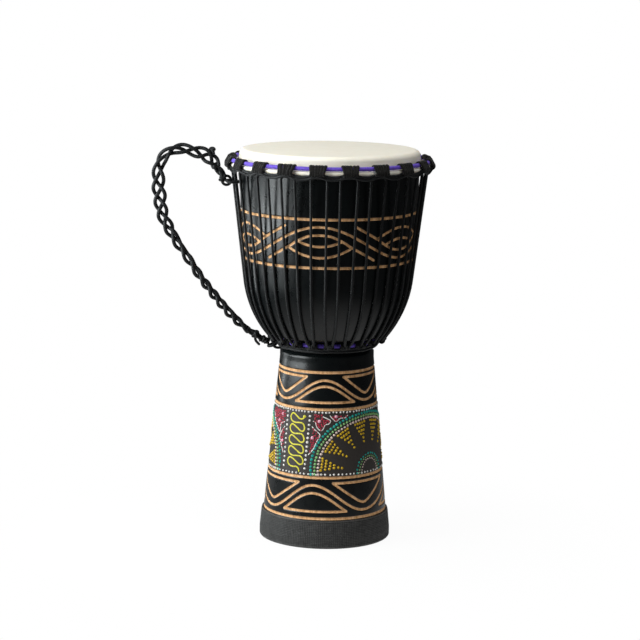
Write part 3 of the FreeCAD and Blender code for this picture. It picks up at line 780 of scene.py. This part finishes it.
def build_crown_hitches():
    """Six turns of rope over the crown ring at each hitch, drawn together below it."""
    strand_wide, strand_high = 2.5, 1.55
    path = [(156.9, 575.2), (158.1, 574.3), (159.1, 575.4), (158.8, 578.4), (156.8, 581.9)]
    path += over_ring(CROWN_RING, CROWN_WRAP + 1.25, [15, 52, 90, 130, 172])
    heights = np.array([point[1] for point in path])
    spread = np.interp(heights, (574, 579, 586, 588), (3.9, 3.5, 4.3, 4.3))
    hitches = Piece()
    for hitch in range(HITCHES):
        centre = FIRST_HITCH + hitch * HITCH_STEP
        for strand in range(6):
            place = strand - 2.5
            offsets = place * spread + chance.normal(0, 0.35)
            offsets += np.linspace(0, chance.normal(0, 0.8), len(path))
            bulge = 0.15 * abs(place) * np.exp(-((heights - 587) / 4) ** 2) + chance.normal(0, 0.15)
            points = [(r + rise, z + 0.6 * rise) for (r, z), rise in zip(path, bulge)]
            ring_strand(hitches, centre, offsets, points, strand_wide, strand_high)
    hitches.make("crown_hitch_ropes", ["crown_hitches"], materials=[ROPE_FUZZY])


def build_bottom_hitches():
    """Three turns of rope over the bottom ring at each cradle."""
    strand_wide, strand_high = 2.9, 1.7
    hook = BOTTOM_WRAP + 0.15 + strand_high
    path = [(77.6, 305.2), (79.4, 305.4)] + over_ring(BOTTOM_RING, hook, [-35, 0, 45, 90, 135, 175])
    hitches = Piece()
    for hitch in range(HITCHES):
        centre = FIRST_HITCH + (hitch + 0.5) * HITCH_STEP
        for strand in range(3):
            place = strand - 1
            offsets = np.full(len(path), place * 4.4 + chance.normal(0, 0.3))
            offsets[:2] += place + chance.normal(0, 0.3)
            ring_strand(hitches, centre, offsets, path, strand_wide, strand_high)
    hitches.make("bottom_hitch_ropes", ["bottom_hitches"])


build_crown_hitches()
build_bottom_hitches()


# ---- tension rope
BELLY_CENTRE = np.array([-35.84, 420.09])
BELLY_REACH = 165.05
LEG_STRAIGHT_LOW = 318.01
LEG_STRAIGHT_HIGH = 400.33
LEG_FOOT_HEIGHT = 309.5
LEG_TOP_HEIGHT = 570.5


def leg_radius(height):
    """Distance of a leg's centre from the axis: straight, then over the belly, then straight."""
    height = np.asarray(height, float)
    bend = BELLY_CENTRE[0] + np.sqrt(np.maximum(BELLY_REACH ** 2 - (height - BELLY_CENTRE[1]) ** 2, 1))
    high = 128.03 + 0.12056 * (height - LEG_STRAIGHT_HIGH)
    low = 93.87 + 0.787 * (height - LEG_STRAIGHT_LOW)
    return np.where(height > LEG_STRAIGHT_HIGH, high, np.where(height < LEG_STRAIGHT_LOW, low, bend))


FOOT_SWEEP = [(-9, 309.5), (-8.0, 309.7), (-6.8, 311.0), (-6.0, 314.0), (-5.4, 319), (-5.0, 327),
              (-4.7, 340), (-4.5, 354)]
TOP_ROUND = 6.0


def leg_line(foot_shift, top_shift):
    """Angle from the hitch and height along one leg, from the middle of its foot to its top."""
    foot = smooth_curve(FOOT_SWEEP, 4)
    leg_angle = foot[-1, 0]
    quarter = np.radians(np.linspace(0, 90, 7))
    top_turn = math.degrees(TOP_ROUND / 148.6)
    rise = np.linspace(foot[-1, 1], LEG_TOP_HEIGHT - TOP_ROUND, 32)[1:-1]
    run = np.stack([np.full(len(rise), leg_angle), rise], -1)
    top = np.stack([leg_angle + top_turn * (1 - np.cos(quarter)),
                    LEG_TOP_HEIGHT - TOP_ROUND + TOP_ROUND * np.sin(quarter)], -1)
    line = np.vstack([foot, run, top, [(0, LEG_TOP_HEIGHT)]])
    share = np.clip((line[:, 1] - 312) / 250, 0, 1)
    free = np.clip(-line[:, 0] / 4.5, 0, 1) * np.clip((line[:, 1] - 309.5) / 6, 0, 1)
    line[:, 0] += free * (foot_shift + (top_shift - foot_shift) * share)
    return line


def build_tension_rope():
    """Two legs under each hitch, from one cradle to the next."""
    legs = Piece()
    for hitch in range(HITCHES):
        shifts = np.clip(chance.normal(0, 0.55, 4), -0.9, 0.9)
        left = leg_line(shifts[0] * 0.6, shifts[1])
        right = leg_line(shifts[2] * 0.6, shifts[3])[-2::-1] * (-1, 1)
        angles, heights = np.vstack([left, right]).T
        angles = angles + FIRST_HITCH + hitch * HITCH_STEP
        tube(legs, ring_point(leg_radius(heights), angles, heights), ring_point(1.0, angles, 0.0),
             ROPE, ROPE)
    legs.make("tension_rope_legs", ["tension_rope"])


def build_cradle_links():
    """Two small loops at each cradle that hold the foot of the tension rope."""
    links = Piece()
    link_wide, link_high, gap = 1.4, 1.35, 0.1
    reach = ROPE + gap + link_high
    around = np.arange(24) * 2 * np.pi / 24
    foot_radius = float(leg_radius(LEG_FOOT_HEIGHT)) * math.cos(math.radians(4.5))
    for hitch in range(HITCHES):
        centre = FIRST_HITCH + (hitch + 0.5) * HITCH_STEP
        for side in (-1.45, 1.45):
            angles = centre + np.degrees((side + 0.5 * np.sin(around)) / foot_radius)
            path = ring_point(foot_radius + reach * np.cos(around), angles,
                              LEG_FOOT_HEIGHT + reach * np.sin(around))
            tube(links, path, ring_point(1.0, centre + 90, 0.0), link_wide, link_high, 8, closed=True)
    links.make("cradle_link_ropes", ["cradle_links"])


build_tension_rope()
build_cradle_links()


# ---- carry handle
HINGE_TOP = np.array([157.37, 0, 551.5])
HINGE_LOW = np.array([84.0, 0, 300.0])
HINGE_WAY = unit(HINGE_TOP - HINGE_LOW)
BRAID_START = np.array(HANDLE_ROUTE[0], float)
BRAID_END = np.array(HANDLE_ROUTE[-1], float)
SIDEWAYS = np.array([0.0, 1.0, 0.0])


def at_handle(points):
    """Turn points that are built out along +X to the side where the handle hangs."""
    x, y, z = np.asarray(points, float).T
    return ring_point(x, HANDLE_ANGLE, z) + ring_point(y, HANDLE_ANGLE + 90, 0.0)


def handle_rope(piece, path, across, size, sides=10, closed=False):
    """Braided rope whose points and across vectors are given out along +X."""
    braided_rope(piece, at_handle(path), at_handle(np.reshape(across, (-1, 3))), size, sides, closed)


def handle_line():
    """Centreline of the handle: a NURBS spline with the route's points as control points."""
    curve = bpy.data.curves.new("handle_line", "CURVE")
    curve.dimensions = "3D"
    spline = curve.splines.new("NURBS")
    spline.points.add(len(HANDLE_ROUTE) - 1)
    for point, place in zip(spline.points, at_handle(HANDLE_ROUTE) * MM):
        point.co = (*place, 1)
    spline.order_u = 3
    spline.use_endpoint_u = True
    spline.resolution_u = 16
    holder = bpy.data.objects.new("handle_line", curve)
    mesh = bpy.data.meshes.new_from_object(holder)
    line = np.array([vertex.co for vertex in mesh.vertices])
    bpy.data.objects.remove(holder)
    bpy.data.meshes.remove(mesh)
    bpy.data.curves.remove(curve)
    return line / MM


def plait(piece, middle, wide, inner, deep, phase, twist, rope):
    """Three strands plaited round a line; each size is one number, or one for each of its points.

    Strands swing out by wide on the outer side, and by inner times that on the inner side.
    """
    ahead = unit(np.gradient(middle, axis=0))
    sideways = at_handle([SIDEWAYS])[0]
    outward = unit(np.cross(ahead, sideways))
    sideways = np.cross(outward, ahead)
    lean = np.broadcast_to(np.radians(twist), len(middle))[:, None]
    flat = outward * np.cos(lean) + sideways * np.sin(lean)
    upright = sideways * np.cos(lean) - outward * np.sin(lean)
    for strand in range(3):
        turn = phase + strand * 2 * np.pi / 3
        swing = (1 + inner) / 2 * np.sin(turn) + (1 - inner) / 2 * np.sin(turn) ** 2
        path = middle + flat * (wide * swing)[:, None] + upright * (deep * np.sin(2 * turn))[:, None]
        tube(piece, path, upright, rope, rope, 12)


def coil(piece, start, end, turns, radius_start, radius_end, rope, wander):
    """Rope wound round a straight line between two points in the handle's own plane."""
    way = unit(end - start)
    first = np.cross(way, SIDEWAYS)
    second = np.cross(way, first)
    t = np.linspace(0, 1, int(turns * 26))
    turn = 2 * np.pi * turns * t
    radius = radius_start + (radius_end - radius_start) * t + wander * np.sin(1.7 * turn)
    outward = np.cos(turn)[:, None] * first + np.sin(turn)[:, None] * second
    path = start + (end - start) * t[:, None] + outward * radius[:, None]
    handle_rope(piece, path, outward, rope)


def whipping(piece, centre, way, radius):
    """Turns of rope round the outer side of an eye that stands in the handle's own plane."""
    second = np.cross(SIDEWAYS, way)
    t = np.linspace(0, 1, 110)[:, None]
    turn = np.radians(-15 + 75 * t)
    outward = np.cos(turn) * way + np.sin(turn) * second
    wind = 2 * np.pi * 3.5 * t
    path = (centre + outward * (radius + 0.6 + 3.4 * np.cos(wind))
            + SIDEWAYS * (3.6 + 0.2 * np.sin(3 * turn)) * np.sin(wind))
    around = outward * np.cos(wind) + SIDEWAYS * np.sin(wind)
    handle_rope(piece, path, around, 1.7)


def tied_knot(piece, centre, way, size, rope):
    """Overhand knot of rope pulled up round a way."""
    first = unit(np.cross(way, SIDEWAYS + 0.01))
    second = np.cross(way, first)
    t = np.linspace(0, 2 * np.pi, 72, endpoint=False)[:, None]
    path = centre + size * ((np.sin(t) + 2 * np.sin(2 * t)) * first * 0.85
                            + (np.cos(t) - 2 * np.cos(2 * t)) * second * 0.85 - np.sin(3 * t) * way)
    handle_rope(piece, path, way, rope, closed=True)


def build_braid(line):
    """Braid of the handle; on its lower stretch the strands swing out on the outer side only."""
    braid = Piece()
    at, middle = resampled(line, BRAID_STEP)
    ends = np.clip(np.minimum((at + 6) / 14, (lengths_along(line)[-1] - at) / 22), 0, 1)
    lower_start = 205
    lower = np.clip((at - lower_start) / 30, 0, 1)
    long_turn, short_turn = 78.0, 66.0
    extra_turns = np.maximum(at - lower_start, 0) * (1 / short_turn - 1 / long_turn)
    plait(braid, middle,
          wide=(3.4 + ends * (2.9 + 0.5 * lower + 0.4 * np.sin(at / 17))
                + 1.8 * np.exp(-((at - 155) / 45) ** 2) + 1.9 * np.exp(-((at - 24) / 14) ** 2)),
          inner=1 - 0.85 * lower, deep=2.7 + ends * 0.3,
          phase=2 * np.pi * (at / long_turn + extra_turns) + 0.35 * np.sin(at / 27) + 0.9,
          twist=12 * np.sin(at / 39) * (1 + lower), rope=2.85)
    return braid.make("handle_plait", ["handle_braid"], "handle")


def build_handle():
    """Braid, the eye at each of its ends, and the knots that tie it to them."""
    line = handle_line()
    braid_item = build_braid(line)

    eye_offset = 1.6
    upper_eye, lower_eye = 6.8, 6.4
    upper_way = unit(BRAID_START - HINGE_TOP)
    upper_centre = HINGE_TOP + upper_way * eye_offset
    lower_centre = HINGE_LOW + np.array([HINGE_WAY[2], 0, -HINGE_WAY[0]]) * eye_offset
    eyes = Piece()
    turn = np.arange(48)[:, None] * 2 * np.pi / 48
    for centre, axis, radius in ((upper_centre, SIDEWAYS, upper_eye), (lower_centre, HINGE_WAY, lower_eye)):
        first = unit(np.cross(axis, [0.3, 0.9, 0.2]))
        ring = centre + radius * (np.cos(turn) * first + np.sin(turn) * np.cross(axis, first))
        handle_rope(eyes, ring, axis, ROPE, 12, closed=True)
    eyes_item = eyes.make("handle_eye_loops", ["handle_upper_eye", "handle_lower_eye"], "handle")

    upper_rim = upper_centre + upper_way * 6.7
    lower_way = unit(BRAID_END - lower_centre)
    lower_rim = lower_centre + lower_way * lower_eye
    knots = Piece()
    whipping(knots, upper_centre, upper_way, upper_eye)
    coil(knots, lower_rim + lower_way * 3, lower_rim + lower_way * 14, 2.6, 3.6, 4.6, 1.8, 0.3)
    tied_knot(knots, np.array([181.0, 0.5, 596.5]), unit(np.array([0.75, 0.2, 0.3])), 2.3, 2.2)
    tied_knot(knots, lower_rim + lower_way * 25, lower_way, 2.1, 2.2)
    tail = [lower_rim + lower_way * reach + shift
            for reach, shift in ((24, (1, -1, -3)), (19, (4, -2, -7)), (12, (5, -1, -9)))]
    handle_rope(knots, smooth_curve(tail, 8), SIDEWAYS, 2.1)
    for rim, start, wide, rope in ((upper_rim, BRAID_START, 3.3, 2.7), (lower_rim, BRAID_END, 2.6, 2.5)):
        way = unit(start - rim)
        at, middle = resampled(at_handle(np.linspace(start + way * 3, rim + way * 1.5, 12)), BRAID_STEP)
        plait(knots, middle, wide, 1, 2.1, 2 * np.pi * at / 60 + 0.9, 15, rope)
    knots_item = knots.make("handle_knots", ["handle_upper_knot", "handle_lower_knot"], "handle")


build_handle()


def build_lashings():
    """Loops on the drum that the handle's eyes hang from."""
    gap = 0.3
    turn = 4.6
    lashing = Piece()

    # the upper one lies flat round a pair of legs
    leg = ring_point(float(leg_radius(HINGE_TOP[2])), 4.5, 0.0)
    side = abs(leg[0]) + 2 * ROPE + gap
    back = abs(leg[1]) - 2 * ROPE - gap
    front, _, height = HINGE_TOP
    corners = np.array([(front, side), (front, -side), (back, -side), (back, side)])
    ways = np.array([(0, -1), (-1, 0), (0, 1), (1, 0)])
    loop = []
    for corner, before, after in zip(corners, np.roll(ways, 1, axis=0), ways):
        for shift in (-before * turn, (after - before) * turn * 0.3, after * turn):
            loop.append((*(corner + shift), height))
    handle_rope(lashing, smooth_curve(loop, 5, closed=True), (0, 0, 1), ROPE, 12, closed=True)

    # the lower one stands up round the bottom ring and the waist ropes
    top = BOTTOM_RING[1] + BOTTOM_WRAP + ROPE + gap
    bottom = LOW_WAIST - THIN_ROPE - ROPE - gap
    inner = BOTTOM_RING[0] - BOTTOM_WRAP - ROPE - gap
    lean = HINGE_WAY[0] / HINGE_WAY[2]
    outer_top = HINGE_LOW[0] + lean * (top - HINGE_LOW[2])
    outer_low = HINGE_LOW[0] + lean * (bottom - HINGE_LOW[2])
    inset = 1.3
    loop = [(outer_top - lean * turn, 0, top - turn), (outer_top - 1.7, 0, top - 1.2),
            (outer_top - turn, 0, top),
            (inner + turn, 0, top), (inner + inset, 0, top - inset), (inner, 0, top - turn),
            (inner, 0, bottom + turn), (inner + inset, 0, bottom + inset), (inner + turn, 0, bottom),
            (outer_low - turn, 0, bottom), (outer_low - 1.0, 0, bottom + inset),
            (outer_low + lean * turn, 0, bottom + turn), tuple(HINGE_LOW + HINGE_WAY * 6)]
    handle_rope(lashing, smooth_curve(loop, 5, closed=True), SIDEWAYS, ROPE, 12, closed=True)
    lashing.make("handle_lashings", ["handle_upper_lashing", "handle_lower_lashing"])


build_lashings()


# ---- painted band
PAINTS = {
    "white": (0.83, 0.81, 0.77),
    "teal": (0.012, 0.34, 0.29),
    "green": (0.25, 0.52, 0.19),
    "blush": (0.76, 0.60, 0.53),
    "gold": (0.62, 0.40, 0.012),
    "lemon": (0.72, 0.66, 0.05),
    "red": (0.42, 0.028, 0.055),
    "pink": (0.86, 0.42, 0.53),
}
painted = {colour: Piece() for colour in PAINTS}
DOT_SIDES = 8
BAND_LOW = 113.0


def dot(colour, angle, height, size):
    """Raised drop of paint on the stem, sunk a little into the wood."""
    size = size * chance.uniform(0.9, 1.1)
    centre = ring_point(stem_radius(height), angle, height)
    lean = math.atan(STEM_TAPER)
    outward = ring_point(math.cos(lean), angle, math.sin(lean))
    right = ring_point(1.0, angle + 90, 0.0)
    up = np.cross(outward, right)
    turn = np.arange(DOT_SIDES) * 2 * np.pi / DOT_SIDES + chance.uniform(0, 1)
    stretch = chance.uniform(0.9, 1.12)
    rim = (right * (size / 2 * stretch * np.cos(turn))[:, None]
           + up * (size / 2 / stretch * np.sin(turn))[:, None])
    rows = [centre + outward * rise + rim * reach
            for reach, rise in ((0.7, -0.3), (1.0, 0.02), (0.78, 0.2 * size), (0.35, 0.3 * size))]
    quads = np.vstack([grid_quads(len(rows), DOT_SIDES)[0], end_caps(len(rows), DOT_SIDES)])
    painted[colour].add(np.vstack(rows), quads)


def brush_line(colour, points, width):
    """Thin raised line of paint through (angle, height) points."""
    angles, heights = smooth_curve(points, 7).T
    path = ring_point(stem_radius(heights), angles, heights)
    tube(painted[colour], path, ring_point(1.0, angles, 0.0), 0.45, width / 2, 8)


def dot_row(colour, height, spacing, size):
    """Dots all round the stem."""
    count = round(2 * math.pi * float(stem_radius(height)) / spacing)
    for index in range(count):
        dot(colour, index * 360 / count + chance.normal(0, 0.25), height + chance.normal(0, 0.25), size)


def half_ellipse(wide, tall, spacing):
    """Points evenly spaced along half an ellipse, as (sideways, up)."""
    t = np.linspace(0, math.pi, 400)
    return resampled(np.stack([wide * np.cos(t), tall * np.sin(t)], -1), spacing, round)[1]


def place_dots(colour, centre, points, size):
    """Dots at (sideways, up) points, where they fall inside the band."""
    for x, y in points:
        height = BAND_LOW + y
        if PAINT_LOW + 1 < height < PAINT_HIGH - 3:
            angle = centre + math.degrees(x / float(stem_radius(height)))
            dot(colour, angle + chance.normal(0, 0.15), height + chance.normal(0, 0.2), size)


def half_mandala(centre):
    """Three rings of dots, eight wedges of gold dots and a small set of rings in the middle."""
    for colour, wide, tall, spacing, size in (
            ("teal", 101, 91, 5.7, 4.4), ("green", 95, 86.5, 5.3, 4.0), ("blush", 89.5, 82, 5.2, 3.8),
            ("teal", 27, 27.5, 5.2, 3.4), ("green", 22.5, 23.5, 4.2, 2.4),
            ("blush", 17.6, 19.8, 3.9, 2.4)):
        place_dots(colour, centre, half_ellipse(wide, tall, spacing), size)
    reach = np.array([84.5, 77])
    for wedge in range(8):
        t = math.radians(12 + 22.3 * wedge)
        way = np.array([math.cos(t), math.sin(t)])
        tangent = unit(np.array([-reach[0] * way[1], reach[1] * way[0]]))
        for row, count in enumerate((5, 4, 3, 2, 1, 1)):
            for place in range(count):
                shift = (place - (count - 1) / 2) * 4.6 * tangent
                place_dots("gold", centre, [reach * way * (1 - 0.075 * row) + shift], 4.1)


def inside(point, outline):
    """True if a point lies inside a closed outline."""
    x, y = point
    hit = False
    for (x0, y0), (x1, y1) in zip(outline, outline[1:] + outline[:1]):
        if (y0 > y) != (y1 > y) and x < (x1 - x0) * (y - y0) / (y1 - y0) + x0:
            hit = not hit
    return hit


def red_dabs(outline, turn):
    """Short dabs of red that fill an outline."""
    angles, heights = zip(*outline)
    for height in np.arange(min(heights), max(heights), 3.3):
        for angle in np.arange(min(angles), max(angles), 2.5):
            spot = (angle + chance.normal(0, 0.5), height + chance.normal(0, 0.7))
            if inside(spot, outline):
                dot("red", spot[0] + turn, spot[1], 2.8)


PETALS = [
    # painted outline, then the points that close it for the red filling
    ([(-3.2, 201), (3.7, 196.5), (4.8, 194.7), (3, 190.1), (-0.8, 188.7), (-3.2, 181.7), (-5.9, 180),
      (-9.8, 185), (-11.2, 191.4), (-13.8, 193.9)], [(-15, 203), (-4, 204)]),
    ([(-15, 185.5), (-12.2, 181.2), (-8.2, 176.9), (-6.2, 172.4), (-9.8, 162), (-12.8, 151.7),
      (-17.8, 142.4)], [(-16.5, 160)]),
    ([(4.2, 202.5), (7.8, 197.4), (11, 194.1), (15.8, 198.5), (21.2, 199), (24.2, 202.8)], []),
    ([(-50.8, 186.6), (-57, 182.2), (-57.7, 169.8), (-66.2, 178.7), (-72, 186.5), (-78, 197)],
     [(-78, 204), (-50, 204)]),
    ([(-50, 179.8), (-57.2, 163.8), (-53.5, 152.2), (-49.2, 140.3)], []),
]
PINK_SPOTS = [(-7.3, 193.9), (-14.3, 168.3), (11, 201.2), (-54.8, 198.2), (-60.8, 186.8), (-52, 157.8)]
SQUIGGLE = [(0, 0), (-3, -4.5), (-2, -10.5), (2.5, -13.8), (8, -13.4), (12.5, -14), (15, -19.5),
            (14.3, -25), (11, -25.8), (6, -21)]
SQUIGGLE_STEP = 16.8


def paint_strip(turn):
    """Strip between the half mandalas: two dotted columns, a looping line, and petals beside it."""
    for place in range(13):
        share = place / 12
        dot("white", -46.5 + turn, 204 - 83 * share, 3.6)
        dot("white", -17.8 - 3.4 * share + turn, 201 - 80 * share, 4.0)
    loops = [(-24, 199.8), (-26, 196.0), (-29.5, 195.6), (-34, 200)]
    for repeat in range(5):
        motif = SQUIGGLE if repeat < 4 else SQUIGGLE[:5]
        loops += [(-38.5 + angle, 203.0 - SQUIGGLE_STEP * repeat + height) for angle, height in motif]
    loops += [(-28, 119.5), (-27.3, 115.5)]
    brush_line("lemon", [(angle + turn, height) for angle, height in loops], 2.3)
    dot("lemon", -24 + turn, 199.8, 4.6)
    for outline, closing in PETALS:
        brush_line("white", [(angle + turn, height) for angle, height in outline], 1.5)
        red_dabs(outline + closing, turn)
    for angle, height in PINK_SPOTS:
        dot("pink", angle + turn, height, 5.6)


def build_painting():
    """Dotted borders, two half mandalas and the two strips between them."""
    dot_row("white", 207.6, 5.4, 3.2)
    dot_row("white", 113.0, 6.6, 3.2)
    for centre in (51, -119):
        half_mandala(centre)
    for turn in (0, 180):
        paint_strip(turn)
    for colour, piece in painted.items():
        name = f"paint_{colour}"
        piece.make(name, (), "drum", "lacquered_wood", [paint(name, PAINTS[colour])])


build_painting()


# ---- floor, light and camera
def build_floor():
    """Pale floor that takes soft shadows near the drum and turns into the white backdrop further out."""
    mesh = bpy.data.meshes.new("floor")
    half = 40.0
    corners = [(-half, -half, 0), (half, -half, 0), (half, half, 0), (-half, half, 0)]
    mesh.from_pydata(corners, [], [(0, 1, 2, 3)])
    floor = add_object("floor", mesh)
    shader = Shader("pale_floor")
    away = shader.add("VectorMath", {0: shader.place["Object"]}, "Value", operation="LENGTH")
    seen = shader.add("LightPath", {}, "Is Camera Ray")
    # painted glow: to the camera the floor is plain white; to everything else it glows, brightest near the
    # drum, and lights the drum from below
    strength = shader.math("MAXIMUM", shader.between(away, 0.25, 0.8, 0.55, 0.04), seen)
    glow = shader.add("Emission", {"Strength": strength})
    glow_share = shader.between(away, 0.1, 0.5, 0.95, 1.0)
    blend = shader.add("MixShader", {0: glow_share, 1: shader.surface.outputs[0], 2: glow})
    feed(shader.nodes["Material Output"].inputs["Surface"], blend)
    mesh.materials.append(shader.finish((0.92, 0.92, 0.915), 0.9))


def build_backdrop():
    """White behind the drum, and dim grey for everything that the drum itself sees."""
    world = bpy.data.worlds.new("studio")
    bpy.context.scene.world = world
    world.use_nodes = True
    nodes = world.node_tree.nodes
    nodes.clear()
    seen = add_node(nodes, "LightPath", {}, "Is Camera Ray")
    behind = add_node(nodes, "Background", {"Color": (1, 1, 1)})
    around = add_node(nodes, "Background", {"Color": (0.9, 0.95, 1.0), "Strength": 0.05})
    blend = add_node(nodes, "MixShader", {0: seen, 1: around, 2: behind})
    feed(nodes.new("ShaderNodeOutputWorld").inputs["Surface"], blend)


def softbox(name, azimuth, distance, height, wide, tall, power, aim, mirrored=True):
    """Area light at an angle from the front, turned to the drum's axis; mirrored ones show in gloss."""
    light = bpy.data.lights.new(name, "AREA")
    light.shape = "RECTANGLE"
    light.size = wide
    light.size_y = tall
    light.energy = power
    if mirrored:
        light.color = (0.92, 0.98, 1.0)
    item = add_object(name, light)
    turn = math.radians(azimuth)
    item.location = (distance * math.sin(turn), -distance * math.cos(turn), height)
    tilt = math.atan2(height - aim, distance)
    item.rotation_euler = (math.pi / 2 - tilt, 0, turn)
    item.visible_camera = False
    item.visible_glossy = mirrored


def build_lights():
    # azimuth, distance, height, width, length, power
    softbox("key_low", -74, 0.95, 0.31, 0.8, 0.1, 3.6, aim=0.31)
    softbox("key_high", -66, 0.95, 0.80, 0.55, 0.76, 8.0, aim=0.7)
    softbox("edge_strip", -118, 1.1, 0.6, 0.22, 1.1, 3.5, aim=0.5)
    softbox("overhead", -25, 0.4, 2.2, 1.8, 1.8, 28, aim=0.3, mirrored=False)
    softbox("side_fill", -55, 3.0, 1.3, 1.6, 1.6, 38, aim=0.4, mirrored=False)
    softbox("front_fill", 50, 3.2, 1.2, 2.0, 1.4, 19, aim=0.4, mirrored=False)


def build_camera():
    camera = bpy.data.cameras.new("camera")
    camera.lens = 131.6
    camera.sensor_width = 36.0
    item = add_object("camera", camera)
    pitch = math.radians(90 - 9.57)
    roll = 0.0144
    item.matrix_world = (Matrix.Translation((-0.0114, -3.5436, 0.9335)) @ Matrix.Rotation(pitch, 4, "X")
                         @ Matrix.Rotation(roll, 4, "Z"))
    bpy.context.scene.camera = item


build_floor()
build_backdrop()
build_lights()
build_camera()
bpy.context.scene.view_settings.view_transform = "Standard"
